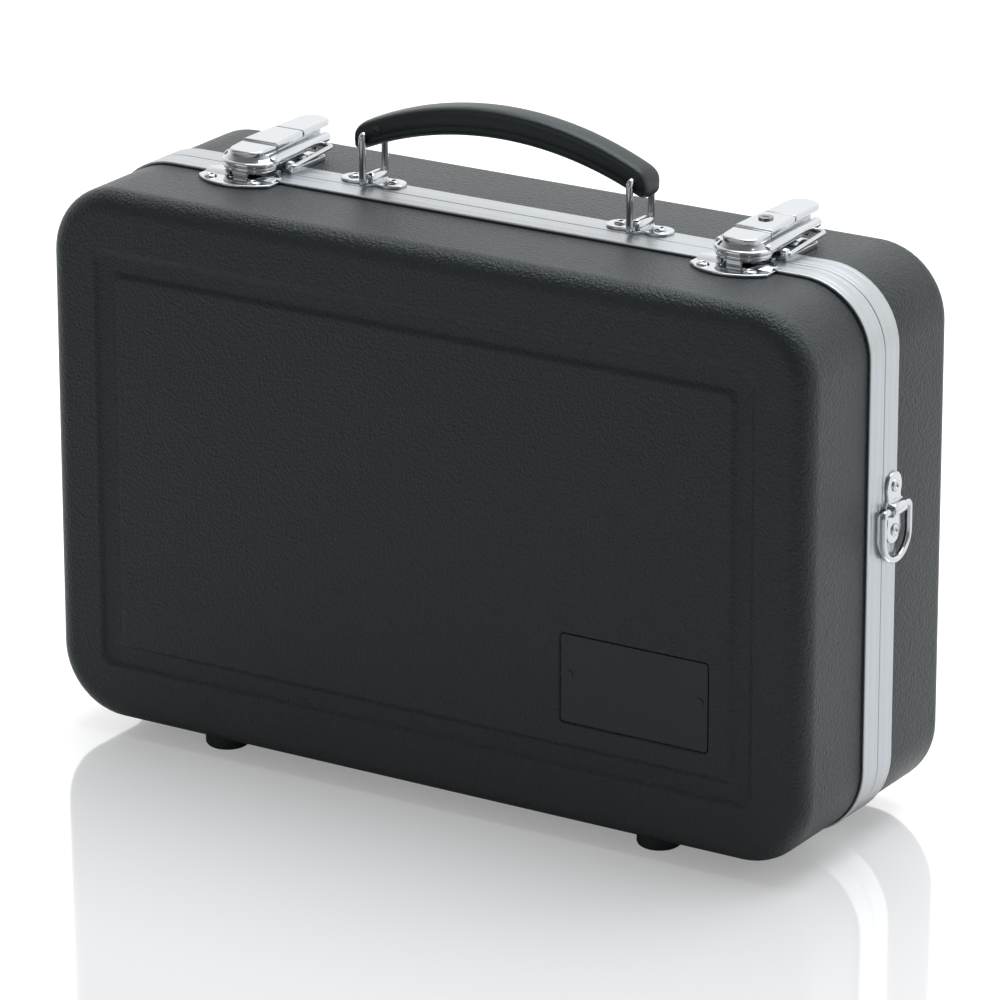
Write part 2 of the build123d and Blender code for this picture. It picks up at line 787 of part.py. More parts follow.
def make_latch_base(latch_x):
    """The base on the body: a plate that steps down behind the strip, with two ears in front."""
    ear_middle = base_ear_inner + base_ear_thickness / 2
    with BuildPart() as base:
        with BuildSketch(level(shell_top_z + shell_fit, latch_x)):
            with Locations((0, base_front + base_length / 2)):
                Rectangle(2 * (base_ear_inner + base_ear_thickness), base_length)
        extrude(amount=top_z + base_thickness - shell_top_z - shell_fit)
        with BuildSketch(level(shell_top_z, latch_x)):
            with Locations((0, strip_width / 2)):
                Rectangle(4 * base_ear_inner, strip_width + 2 * shell_fit)
        extrude(amount=top_z - shell_top_z, mode=Mode.SUBTRACT)
        for ear_x in (-ear_middle, ear_middle):
            with BuildSketch(across(latch_x + ear_x - base_ear_thickness / 2, top_z)):
                with Locations((bail_front, bail_front_rise)):
                    Circle(base_ear_radius)
                foot_front = max(bail_front - base_ear_radius, base_front)
                foot_back = bail_front + 2 * base_ear_radius
                with BuildLine():
                    Polyline(
                        (foot_front, base_thickness / 2),
                        (foot_back, base_thickness / 2),
                        (bail_front + base_ear_radius, bail_front_rise),
                        (bail_front - base_ear_radius, bail_front_rise),
                        close=True,
                    )
                make_face()
                with Locations((bail_front, bail_front_rise)):
                    Circle(bail_wire_radius + running_fit, mode=Mode.SUBTRACT)
            extrude(amount=base_ear_thickness)
        with BuildSketch(level(top_z + base_thickness, latch_x)):
            with Locations(*base_points):
                Circle(rivet_shank_radius + rivet_fit)
        extrude(amount=-through_wall, mode=Mode.SUBTRACT)
    return base.part


def make_latch_bail(latch_x):
    """The wire bail: two ends in the base's ears, two legs and a bar under the hasp's tail."""
    front_y_bail = seam_y + bail_front
    rear_y_bail = seam_y + bail_rear
    front_z = top_z + bail_front_rise
    rear_z = top_z + bail_rear_rise
    pin_x = bail_half_width - bail_pin_overlap
    with BuildPart() as bail:
        with BuildLine():
            FilletPolyline(
                (latch_x - pin_x, front_y_bail, front_z),
                (latch_x - bail_half_width, front_y_bail, front_z),
                (latch_x - bail_half_width, rear_y_bail, rear_z),
                (latch_x + bail_half_width, rear_y_bail, rear_z),
                (latch_x + bail_half_width, front_y_bail, front_z),
                (latch_x + pin_x, front_y_bail, front_z),
                radius=[bail_pin_bend, bail_bend, bail_bend, bail_pin_bend],
            )
        with BuildSketch(Plane(origin=(latch_x - pin_x, front_y_bail, front_z), z_dir=(-1, 0, 0))):
            Circle(bail_wire_radius)
        sweep()
    return bail.part


def roll_x(y):
    """How far the middle of a rolled side lies from the latch's middle at y."""
    share = (y + hasp_roll_front) / (hasp_rear + hasp_roll_front)
    return hasp_half_width - hasp_roll_radius - share * (hasp_half_width - hasp_rear_half_width)


def cover_x(y):
    """Half the cover's width at y."""
    return cover_half_width - (cover_half_width - cover_rear_half_width) * y / middle_back


def tapered(front, rear, front_half, rear_half):
    """Corners of a four-sided outline from front to rear, each with its own half width."""
    return [(-front_half, front), (front_half, front), (rear_half, rear), (-rear_half, rear)]


def make_hasp_plate(latch_x):
    """The hasp: a plate with a round turned-down front rim, rolled sides and two lugs behind."""
    roll_z = top_z + hasp_rise + hasp_thickness / 2
    side_start = hasp_corner - hasp_front + joint_overlap
    rim_length = hasp_front - hasp_rim_back
    with BuildPart() as hasp:
        with BuildSketch(level(top_z + hasp_rise, latch_x)) as outline:
            with BuildLine():
                Polyline(
                    (-hasp_half_width, -hasp_front),
                    (hasp_half_width, -hasp_front),
                    (hasp_half_width, side_start),
                    (roll_x(hasp_rear), hasp_rear),
                    (-roll_x(hasp_rear), hasp_rear),
                    (-hasp_half_width, side_start),
                    close=True,
                )
            make_face()
            fillet(outline.vertices().group_by(Axis.Y)[0], hasp_corner)
        extrude(amount=hasp_thickness)
        with BuildSketch(level(top_z + hasp_rim_bottom, latch_x)) as rim:
            with Locations((0, -hasp_rim_back - rim_length / 2)):
                Rectangle(2 * hasp_half_width, rim_length)
            fillet(rim.vertices().group_by(Axis.Y)[0], hasp_corner)
            with Locations((0, -hasp_rim_back)):
                RectangleRounded(
                    2 * (hasp_half_width - hasp_rim_wall),
                    2 * (rim_length - hasp_rim_wall),
                    hasp_corner - hasp_rim_wall,
                    mode=Mode.SUBTRACT,
                )
        extrude(amount=hasp_rise - hasp_rim_bottom)
        for sign in (-1, 1):
            start = Vector(latch_x + sign * roll_x(-hasp_roll_front), seam_y - hasp_roll_front, roll_z)
            end = Vector(latch_x + sign * roll_x(hasp_rear), seam_y + hasp_rear, roll_z)
            with BuildSketch(Plane(origin=start, z_dir=end - start)):
                Circle(hasp_roll_radius)
            extrude(amount=(end - start).length)
        for x in (-hasp_lug_outer, hasp_lug_inner):
            with BuildSketch(across(latch_x + x, top_z)):
                with Locations((bail_rear, (hasp_lug_bottom + hasp_rise) / 2)):
                    Rectangle(2 * hasp_lug_half_length, hasp_rise - hasp_lug_bottom + joint_overlap)
            extrude(amount=hasp_lug_outer - hasp_lug_inner)
        with BuildSketch(across(latch_x - 2 * hasp_half_width, top_z)):
            with Locations((bail_rear, bail_rear_rise)):
                Circle(bail_wire_radius + running_fit)
        extrude(amount=4 * hasp_half_width, mode=Mode.SUBTRACT)
    return hasp.part


def make_hasp_cover(latch_x, has_lock):
    """The cover: a front tab on a cone, a middle block and a rounded finger tip."""
    seat = top_z + hasp_rise + hasp_thickness
    cap_z = top_z + cover_cap_rise
    middle_front = tab_back + cover_groove
    finger_front = middle_back + cover_groove
    foot_front = -hasp_roll_front - cover_foot_gap - joint_overlap
    roll_gap = hasp_roll_radius + cover_foot_gap
    with BuildPart() as cover:
        # Cone in front of the rolled sides
        for z, inset in ((seat, cone_foot_inset), (cap_z, cone_top_inset)):
            with BuildSketch(level(z, latch_x)):
                with Locations((0, -hasp_rim_back)):
                    RectangleRounded(
                        2 * (hasp_half_width - inset),
                        2 * (hasp_front - hasp_rim_back - inset),
                        hasp_corner - inset,
                    )
        loft()
        with BuildSketch(level(seat, latch_x)):
            with Locations((0, foot_front + hasp_front)):
                Rectangle(4 * hasp_half_width, 2 * hasp_front)
        extrude(amount=cap_z - seat, mode=Mode.SUBTRACT)
        # Foot between the rolled sides, which joins everything above it
        with BuildSketch(level(seat, latch_x)):
            with BuildLine():
                front_half = roll_x(foot_front) - roll_gap
                rear_half = roll_x(hasp_rear) - roll_gap
                Polyline(*tapered(foot_front - joint_overlap, hasp_rear, front_half, rear_half), close=True)
            make_face()
        extrude(amount=top_z + cover_web_top - seat)
        # Front tab
        with BuildSketch(level(cap_z, latch_x)) as tab:
            with BuildLine():
                Polyline(*tapered(-tab_front, -tab_back, tab_front_half_width, cover_half_width), close=True)
            make_face()
            fillet(tab.vertices().group_by(Axis.Y)[0], tab_corner)
        extrude(amount=tab_top - cover_cap_rise)
        # Middle block
        with BuildSketch(level(cap_z, latch_x)):
            with BuildLine():
                ends = cover_x(middle_front), cover_x(middle_back)
                Polyline(*tapered(middle_front, middle_back, *ends), close=True)
            make_face()
        extrude(amount=middle_top - cover_cap_rise)
        # Finger tip, which stands free of the plate behind the lugs
        with BuildSketch(level(top_z + finger_top - finger_thickness, latch_x)) as finger:
            with Locations((0, (finger_front + finger_tip) / 2)):
                Rectangle(2 * cover_rear_half_width, finger_tip - finger_front)
            fillet(finger.vertices().group_by(Axis.Y)[-1], finger_corner)
        extrude(amount=finger_thickness)
        with BuildSketch(level(cap_z, latch_x)):
            with Locations((0, (finger_front + finger_web_back) / 2)):
                Rectangle(2 * (cover_rear_half_width - finger_web_inset), finger_web_back - finger_front)
        extrude(amount=finger_top - finger_thickness / 2 - cover_cap_rise)
        top_edges = cover.edges().filter_by(Plane.XY).group_by(Axis.Z)
        chamfer(top_edges[-1], cover_edge_radius / 2)
        if has_lock:
            with BuildSketch(level(top_z + middle_top, latch_x)):
                with Locations((plug_x, plug_y)):
                    Circle(plug_radius + running_fit)
            extrude(amount=-plug_depth, mode=Mode.SUBTRACT)
    return cover.part


for side, latch_x in latch_places.items():
    save(make_catch(latch_x), f"catch_plate_{side}")
    catch_seat = level(catch_seat_z, latch_x)
    catch_rivet_length = catch_seat_z - shell_top_z + shell_wall
    save(make_rivets(catch_seat, catch_points, catch_rivet_length), f"catch_rivets_{side}")
    save(make_latch_base(latch_x), f"latch_base_{side}")
    base_seat = level(top_z + base_thickness, latch_x)
    base_rivet_length = top_z + base_thickness - shell_top_z + shell_wall
    save(make_rivets(base_seat, base_points, base_rivet_length), f"latch_base_rivets_{side}")
    save(make_latch_bail(latch_x), f"latch_bail_{side}")
    save(make_hasp_plate(latch_x), f"hasp_plate_{side}")
    save(make_hasp_cover(latch_x, side == "right"), f"hasp_cover_{side}")

# Lock plug with a slot for a flat key
with BuildPart() as lock_plug:
    plug_top = level(top_z + middle_top + plug_proud, latch_right_x)
    with BuildSketch(plug_top):
        with Locations((plug_x, plug_y)):
            Circle(plug_radius)
    extrude(amount=-plug_depth - plug_proud)
    with BuildSketch(plug_top):
        with Locations((plug_x, plug_y)):
            Rectangle(key_slot_length, key_slot_width)
    extrude(amount=-key_slot_depth, mode=Mode.SUBTRACT)
save(lock_plug.part, "lock_plug")

# Instrument tray: a padded block with a well for each piece of the clarinet.
# Each joint's well: gap to the tray's left edge, length, gap from the tray's upper or lower edge
# to its middle, width, depth
upper_joint_wells = {
    "lower_joint": (10.5, 270.0, 32.5, 42.0, 31.0),
    "upper_joint": (36.5, 236.0, 80.5, 40.0, 30.0),
}
lower_joint_wells = {
    "barrel": (136.5, 74.0, 82.5, 40.0, 29.0),
    "mouthpiece": (136.5, 96.0, 30.5, 36.0, 27.0),
}
bell_well_gap = 10.5
bell_well_length = 114.0
bell_well_rise = 55.5
bell_well_radii = (20.0, 41.0)
# Accessory wells on the right: widths, gaps to the tray's edges and to its middle, depth
accessory_well_widths = {"upper": 46.0, "lower": 84.0}
accessory_side_gap = 8.5
accessory_edge_gap = 10.5
accessory_middle_gap = 12.0
accessory_well_depth = 36.0

inner_half_width = shell_width / 2 - shell_wall - lining_fit
inner_half_height = shell_height / 2 - shell_wall - lining_fit
inner_corner = shell_corner - shell_wall - lining_fit
flange_inset = 2 * shell_fit + strip_wall
tray_top_y = seam_y + tray_top_setback
tray_floor_y = rear_y - shell_wall - lining_fit
flange_end = seam_gap / 2 + inner_flange_depth + lining_fit

with BuildPart() as instrument_tray:
    with BuildSketch(upright(seam_y + flange_end)):
        RectangleRounded(2 * inner_half_width, 2 * inner_half_height, inner_corner)
    extrude(amount=-(tray_floor_y - seam_y - flange_end))
    fillet(instrument_tray.faces().sort_by(Axis.Y)[-1].edges(), lining_edge_radius)
    with BuildSketch(upright(tray_top_y)):
        RectangleRounded(
            2 * (inner_half_width - flange_inset - lining_fit),
            2 * (inner_half_height - flange_inset - lining_fit),
            inner_corner - flange_inset - lining_fit,
        )
    extrude(amount=-(flange_end - tray_top_setback))
    for sign, wells in ((1, upper_joint_wells), (-1, lower_joint_wells)):
        for gap, length, drop, width, depth in wells.values():
            height = sign * (inner_half_height - drop)
            axis_y = tray_top_setback + depth - width / 2
            with BuildSketch(across(gap - inner_half_width, middle_z + height)):
                with Locations((axis_y, 0)):
                    Circle(width / 2)
                with Locations((tray_top_setback + (depth - width / 2) / 2, 0)):
                    Rectangle(depth - width / 2, width)
            extrude(amount=length, mode=Mode.SUBTRACT)
    bell_left = bell_well_gap - inner_half_width
    bell_right = bell_left + bell_well_length
    bell_height = bell_well_rise - inner_half_height
    with BuildSketch(upright(tray_top_y)):
        with BuildLine():
            Polyline(
                (bell_left, bell_height),
                (bell_left, bell_height + bell_well_radii[0]),
                (bell_right, bell_height + bell_well_radii[1]),
                (bell_right, bell_height),
                close=True,
            )
        make_face()
    revolve(
        axis=Axis((0, tray_top_y, middle_z + bell_height), (1, 0, 0)),
        mode=Mode.SUBTRACT,
    )
    accessory_height = inner_half_height - accessory_edge_gap - accessory_middle_gap
    for sign, width in ((1, accessory_well_widths["upper"]), (-1, accessory_well_widths["lower"])):
        with BuildSketch(upright(tray_top_y)):
            well_x = inner_half_width - accessory_side_gap - width / 2
            with Locations((well_x, sign * (accessory_middle_gap + accessory_height / 2))):
                RectangleRounded(width, accessory_height, well_end_radius)
        extrude(amount=-accessory_well_depth, mode=Mode.SUBTRACT)
save(instrument_tray.part, "instrument_tray")

# Lid lining: a padded back with lined sides
with BuildPart() as lid_lining:
    with BuildSketch(upright(seam_y - flange_end)):
        RectangleRounded(2 * inner_half_width, 2 * inner_half_height, inner_corner)
    extrude(amount=front_depth - shell_wall - lining_fit - flange_end)
    fillet(lid_lining.faces().sort_by(Axis.Y)[0].edges(), lining_edge_radius)
    with BuildSketch(upright(seam_y - flange_end)):
        RectangleRounded(
            2 * (inner_half_width - lining_side),
            2 * (inner_half_height - lining_side),
            inner_corner - lining_side,
        )
    extrude(
        amount=front_depth - shell_wall - lining_fit - lining_pad - flange_end, mode=Mode.SUBTRACT
    )
save(lid_lining.part, "lid_lining")
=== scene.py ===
# %% [markdown]
# # A moulded clarinet case
#
# Two tubs of moulded ABS meet at a seam that is edged with brushed aluminium. Nickel-chromed
# latches, handle plates and strap rings are riveted to the seam. This lesson dresses a packed
# CAD model of the case: the CAD parts give every place and size, and each cell adds one piece
# or one finish to them. Lengths in the cells are millimetres, and one function turns them into
# the metres that Blender uses.

# %% [markdown]
# ## Start from the imported CAD
#
# The imported frame holds every CAD part as an object, with the record of the parts beside it.
# Loading it first keeps the looks and the mechanics in one place. The objects already in the
# scene are noted before the import, so that only the imported ones are taken.

# %% Load the fixed frame
import json

import bmesh
import bpy
import numpy as np
from mathutils import Matrix, Vector


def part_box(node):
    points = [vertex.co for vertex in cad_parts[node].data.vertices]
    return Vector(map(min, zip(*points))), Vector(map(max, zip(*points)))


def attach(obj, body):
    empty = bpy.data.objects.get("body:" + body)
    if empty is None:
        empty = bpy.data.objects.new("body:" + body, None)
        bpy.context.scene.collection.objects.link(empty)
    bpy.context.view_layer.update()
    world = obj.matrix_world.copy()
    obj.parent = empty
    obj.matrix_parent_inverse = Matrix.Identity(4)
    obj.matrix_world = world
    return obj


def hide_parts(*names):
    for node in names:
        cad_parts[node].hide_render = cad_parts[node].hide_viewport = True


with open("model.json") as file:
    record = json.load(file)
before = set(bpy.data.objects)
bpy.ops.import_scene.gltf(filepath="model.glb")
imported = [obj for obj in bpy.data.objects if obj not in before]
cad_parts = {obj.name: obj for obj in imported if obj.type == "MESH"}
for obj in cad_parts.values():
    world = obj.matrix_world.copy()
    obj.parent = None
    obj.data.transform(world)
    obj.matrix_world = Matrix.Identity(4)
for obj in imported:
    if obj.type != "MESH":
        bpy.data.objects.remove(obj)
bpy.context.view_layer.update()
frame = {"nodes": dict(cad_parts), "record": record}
MM = 0.001


def node_box(node):
    """Lowest and highest corner of a CAD node, in millimetres."""
    low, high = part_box(node)
    return np.array(low) / MM, np.array(high) / MM


# %% [markdown]
# ## Places that everything else hangs on
#
# The seam between the two valance strips is the plane that the case opens along. Its depth, the
# middle height and the faces of both tubs are read from the CAD boxes, so that a change there
# carries through to each surface below.

# %% Seam, faces and middle of the case
lid_strip_low, lid_strip_high = node_box("front_valance")
body_strip_low = node_box("rear_valance")[0]
lid_low, lid_high = node_box("front_shell")
tub_high = node_box("rear_shell")[1]

SEAM_Y = (lid_strip_high[1] + body_strip_low[1]) / 2
SEAM_GAP = body_strip_low[1] - lid_strip_high[1]
MIDDLE_Z = (lid_strip_low[2] + lid_strip_high[2]) / 2
TOP_Z = lid_strip_high[2]
FRONT_Y = lid_low[1]
REAR_Y = tub_high[1]
STRIP_HALF = np.array([lid_strip_high[0], (lid_strip_high[2] - lid_strip_low[2]) / 2])
SHELL_HALF = np.array([lid_high[0], (lid_high[2] - lid_low[2]) / 2])
print("seam at y", round(SEAM_Y, 2), "mm, top at z", round(TOP_Z, 2), "mm")

# %% [markdown]
# ## From arrays to meshes
#
# A surface here is a grid of points worked out as one array. Rows of the grid run from one edge
# of the surface to the other and columns run round it, so that the faces follow from the row
# and column numbers alone. Flat ends are closed with one many-sided face each.

# %% Grids, closed ends and pieces


def grid_patch(points, wrap=True, closed=False, first_end=False, last_end=False):
    """Faces over a rows x columns x 3 grid of points.

    wrap joins the last column to the first, closed joins the last row to the first, and
    first_end and last_end close the first and last row with one face.
    """
    rows, columns = points.shape[:2]
    index = np.arange(rows * columns).reshape(rows, columns)
    if closed:
        index = np.vstack([index, index[:1]])
    if wrap:
        index = np.hstack([index, index[:, :1]])
    quads = np.stack([index[:-1, :-1], index[1:, :-1], index[1:, 1:], index[:-1, 1:]], -1)
    faces = quads.reshape(-1, 4).tolist()
    if first_end:
        faces.append(np.arange(columns).tolist())
    if last_end:
        faces.append((np.arange(columns) + (rows - 1) * columns).tolist())
    return points.reshape(-1, 3), faces


def make_piece(name, patches, material, body, sharp_deg=32):
    """Joins patches into one mesh object in metres that rides on a CAD body.

    It stands for the CAD node of the same name. Points that fall together are merged, faces
    are turned outwards, and edges that bend by more than sharp_deg stay crisp.
    """
    points, faces, start = [], [], 0
    for patch_points, patch_faces in patches:
        points.append(patch_points)
        faces += [[corner + start for corner in face] for face in patch_faces]
        start += len(patch_points)
    mesh = bpy.data.meshes.new(name)
    mesh.from_pydata((np.vstack(points) * MM).tolist(), [], faces)
    sheet = bmesh.new()
    sheet.from_mesh(mesh)
    bmesh.ops.remove_doubles(sheet, verts=sheet.verts, dist=1e-7)
    bmesh.ops.recalc_face_normals(sheet, faces=sheet.faces)
    sheet.to_mesh(mesh)
    sheet.free()
    mesh.shade_smooth()
    mesh.set_sharp_from_angle(angle=np.radians(sharp_deg))
    mesh.materials.append(material)
    piece = bpy.data.objects.new(f"{name}_surface", mesh)
    bpy.context.scene.collection.objects.link(piece)
    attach(piece, body)
    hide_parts(name)
    print(name, len(mesh.vertices), "points")
    return piece


# %% [markdown]
# ## Outlines with round corners
#
# Nearly every part of a case is a shape with round corners: the tubs, the valance, the panels
# and the plates. A rounded rectangle is four quarter circles, one in each corner, and a tub is
# a stack of such outlines that get smaller towards its face. With the same number of points in
# each outline, a stack of them is a grid.

# %% Rings of a tub and outlines of a plate
CORNER_POINTS = 14
quarter = np.linspace(0, np.pi / 2, CORNER_POINTS)
RING_ANGLE = (np.arange(4)[:, None] * np.pi / 2 + quarter).ravel()
RING_SIDE_X = np.repeat([1, -1, -1, 1], CORNER_POINTS)
RING_SIDE_Z = np.repeat([1, 1, -1, -1], CORNER_POINTS)


def stack_rings(stations):
    """A grid of rounded rectangles that stand upright, one for each station.

    A station is centre x, centre z, half width, half height, corner radius, y. A point is the
    corner's centre plus the radius times (cos, sin) of its angle, where the corner's centre is
    one radius inside both edges.
    """
    cx, cz, half_x, half_z, radius, y = np.array(stations, float).T[:, :, None]
    radius = np.maximum(radius, 0.01)
    x = cx + RING_SIDE_X * (half_x - radius) + radius * np.cos(RING_ANGLE)
    z = cz + RING_SIDE_Z * (half_z - radius) + radius * np.sin(RING_ANGLE)
    return np.stack([x, y + 0 * x, z], -1)


def round_corners(points, radii, steps=6, closed=True):
    """The polyline through points with each corner replaced by a tangent arc.

    The arc starts radius / tan(half the corner's angle) before the corner, and its points are
    the centre plus the two end directions blended by sin((1 - s) a) and sin(s a) over sin(a).
    """
    points = np.array(points, float)
    radii = np.broadcast_to(radii, len(points))
    out = []
    for number, corner in enumerate(points):
        at_end = not closed and number in (0, len(points) - 1)
        if at_end or radii[number] == 0:
            out.append(corner[None])
            continue
        before = points[number - 1] - corner
        after = points[(number + 1) % len(points)] - corner
        before /= np.linalg.norm(before)
        after /= np.linalg.norm(after)
        half = np.arccos(np.clip(before @ after, -1, 1)) / 2
        radius = radii[number]
        middle = (before + after) / np.linalg.norm(before + after)
        centre = corner + middle * radius / np.sin(half)
        first = (corner + before * radius / np.tan(half) - centre) / radius
        last = (corner + after * radius / np.tan(half) - centre) / radius
        turn = np.pi - 2 * half
        share = np.linspace(0, 1, steps)[:, None]
        blend = np.sin((1 - share) * turn) * first + np.sin(share * turn) * last
        out.append(centre + radius * blend / np.sin(turn))
    return np.vstack(out)


def outline_normals(outline):
    """Unit directions out of a closed outline in the plane, from the chord across each point."""
    chord = np.roll(outline, -1, 0) - np.roll(outline, 1, 0)
    normal = np.stack([chord[:, 1], -chord[:, 0]], -1)
    normal /= np.linalg.norm(normal, axis=1)[:, None]
    x, y = outline.T
    area = np.sum(x * np.roll(y, -1) - np.roll(x, -1) * y)
    return normal * np.sign(area)


def plate_patch(outline, levels):
    """A plate with shaped edges: the outline moved in by an inset at each height.

    levels is a list of (inset, height). The first and last outlines are closed.
    """
    inset, height = np.array(levels, float).T[:, :, None]
    normal = outline_normals(outline)
    x = outline[:, 0] - inset * normal[:, 0]
    y = outline[:, 1] - inset * normal[:, 1]
    return grid_patch(np.stack([x, y, height + 0 * x], -1), first_end=True, last_end=True)


def round_edge(radius, height, steps=5, upper=True):
    """(inset, height) pairs of a quarter round at the top or bottom edge of a plate."""
    angle = np.linspace(0, np.pi / 2, steps)
    inset = radius * (1 - np.cos(angle))
    rise = radius * (1 - np.sin(angle))
    pairs = np.stack([inset, height - rise if upper else height + rise], -1)
    return pairs.tolist() if upper else pairs[::-1].tolist()


def turned_patch(profile, centre, axis="z", steps=24):
    """A turned part: (radius, height) pairs swept round an axis through centre."""
    radius, height = np.array(profile, float).T[:, :, None]
    angle = np.arange(steps) * 2 * np.pi / steps
    a, b, c = radius * np.cos(angle), radius * np.sin(angle), height + 0 * angle
    order = {"x": (c, a, b), "y": (a, c, b), "z": (a, b, c)}[axis]
    return grid_patch(np.stack(order, -1) + centre, first_end=True, last_end=True)


print("ring points", len(RING_ANGLE))

# %% [markdown]
# ## Adding shader nodes
#
# Each finish is a small graph of nodes. One helper adds a node, sets its values and links its
# inputs, and one function turns a hex colour, as picked on a screen, into the linear numbers
# that the renderer works in. Three more let a pattern drive the bump, the roughness or the
# colour of a finish, since nearly every finish needs them.

# %% Colours and nodes


def linear(hex_colour):
    """An sRGB hex colour as linear RGBA: ((c + 0.055) / 1.055) ** 2.4 above the toe."""
    channels = [int(hex_colour[k : k + 2], 16) / 255 for k in (1, 3, 5)]
    values = [c / 12.92 if c <= 0.04045 else ((c + 0.055) / 1.055) ** 2.4 for c in channels]
    return (*values, 1.0)


def add_node(tree, kind, settings=None, **links):
    """Adds a node. settings set its properties or input values, links feed its inputs.

    An input is named by its label with spaces as underscores, or by its number after "i".
    """
    node = tree.nodes.new(kind)
    for key, value in (settings or {}).items():
        if isinstance(key, int) or key in node.inputs:
            node.inputs[key].default_value = value
        else:
            setattr(node, key, value)
    for key, socket in links.items():
        number = key[1:] if key[0] == "i" and key[1:].isdigit() else None
        target = node.inputs[int(number)] if number else node.inputs[key.replace("_", " ")]
        tree.links.new(socket, target)
    return node


def new_finish(name, colour, **values):
    """A material with its Principled shader. Returns the material, its tree and the shader."""
    material = bpy.data.materials.new(name)
    material.use_nodes = True
    tree = material.node_tree
    shader = tree.nodes["Principled BSDF"]
    shader.inputs["Base Color"].default_value = linear(colour)
    for key, value in values.items():
        shader.inputs[key.replace("_", " ")].default_value = value
    return material, tree, shader


def ramp(tree, factor, stops):
    """A ramp of greys on factor, from (position, value) stops."""
    node = add_node(tree, "ShaderNodeValToRGB", Fac=factor)
    elements = node.color_ramp.elements
    while len(elements) < len(stops):
        elements.new(0.5)
    for element, (position, value) in zip(elements, stops):
        element.position = position
        element.color = (value, value, value, 1.0)
    return node.outputs["Color"]


def add_bump(tree, shader, height, strength, depth_mm):
    """Feeds the shader's normal from a height whose full swing is depth_mm."""
    bump = add_node(
        tree, "ShaderNodeBump", {"Strength": strength, "Distance": depth_mm * MM}, Height=height
    )
    tree.links.new(bump.outputs["Normal"], shader.inputs["Normal"])


def vary_roughness(tree, shader, factor, low, high):
    """Roughness that runs from low to high as factor goes from 0 to 1."""
    rough = add_node(tree, "ShaderNodeMapRange", {"To Min": low, "To Max": high}, Value=factor)
    tree.links.new(rough.outputs["Result"], shader.inputs["Roughness"])


def vary_colour(tree, shader, factor, colour, low, high):
    """Base colour that runs from colour times low to colour times high with factor."""
    base = np.array(linear(colour)[:3])
    ends = {6: (*base * low, 1), 7: (*base * high, 1)}
    tint = add_node(tree, "ShaderNodeMix", {"data_type": "RGBA", **ends}, i0=factor)
    tree.links.new(tint.outputs[2], shader.inputs["Base Color"])


print("white in linear light:", linear("#ffffff")[0])

# %% [markdown]
# ## Moulded ABS with a pebble grain
#
# The tubs are vacuum-formed or moulded ABS, a black plastic with a fine pebble grain pressed in
# by the mould. The grain is about a millimetre across. It scatters the reflection, so faces
# seen at a grazing angle turn grey with sparkle while faces seen square stay almost black. A
# layer of cells and a finer noise over it give the uneven pebbles.
# The base colour is also made lighter on the grain's ridges and darker in its hollows: partly the
# grain itself, partly painted shade in the hollows and painted sparkle on the ridges.

# %% Shell plastic
PEBBLE_MM = 1.2
FINE_PEBBLE_MM = 0.7
CLOUD_MM = 60


def pebbled_plastic(name, colour, roughness, grain=1.0, depth_mm=0.46):
    """Grained ABS: pebbles as bump and as a tint of painted shade and sparkle, roughness drifting
    over CLOUD_MM.
    """
    # The specular tint turns the reflections slightly blue: a painted cool cast of the studio
    # light, not a colour of the plastic.
    material, tree, shader = new_finish(
        name, colour, Roughness=roughness, IOR=1.53, Specular_IOR_Level=0.39,
        Specular_Tint=(0.87, 1.0, 1.03, 1.0),
    )
    place = add_node(tree, "ShaderNodeTexCoord").outputs["Object"]
    pebble = add_node(
        tree, "ShaderNodeTexVoronoi", {"feature": "SMOOTH_F1", "Scale": 1 / (PEBBLE_MM * MM)},
        Vector=place,
    )
    fine = add_node(
        tree, "ShaderNodeTexNoise", {"Scale": 1 / (FINE_PEBBLE_MM * MM), "Detail": 2.0},
        Vector=place,
    )
    height = add_node(
        tree, "ShaderNodeMath", {"operation": "MULTIPLY_ADD", 1: 0.8},
        i0=pebble.outputs["Distance"], i2=fine.outputs["Fac"],
    )
    cloud = add_node(
        tree, "ShaderNodeTexNoise", {"Scale": 1 / (CLOUD_MM * MM), "Detail": 3.0}, Vector=place
    )
    add_bump(tree, shader, height.outputs[0], 0.9 * grain, depth_mm)
    vary_roughness(tree, shader, cloud.outputs["Fac"], roughness - 0.05, roughness + 0.05)
    # Tint by the pebbles' height: lighter ridges and darker hollows, painted sparkle and painted
    # shade over the grain.
    vary_colour(tree, shader, height.outputs[0], colour, 0.7, 1.35)
    return material


shell_plastic = pebbled_plastic("pebbled_black_ABS", "#191c1d", 0.35)
grip_plastic = pebbled_plastic("satin_black_ABS", "#1b1e1f", 0.36, grain=0.6, depth_mm=0.15)
badge_plastic = pebbled_plastic("plain_black_plate", "#14171a", 0.4, grain=0.5, depth_mm=0.1)
foot_plastic = pebbled_plastic("black_foot_rubber", "#191a1b", 0.6, grain=0.5, depth_mm=0.1)

# %% [markdown]
# ## Brushed aluminium
#
# The valance is drawn aluminium strip, brushed along its length and clear anodised. The fine
# scratches run lengthwise, so their height changes quickly across the strip, which is the y
# direction all round the case, and slowly along it. Stretching one noise by a Mapping node
# does that. The real scratches are a tenth of a millimetre apart, too fine to show, so they
# are drawn four times as coarse.

# %% Valance metal
SCRATCH_MM = 0.4
SCRATCH_LENGTH_MM = 60
SCRATCH_DEPTH_MM = 0.02


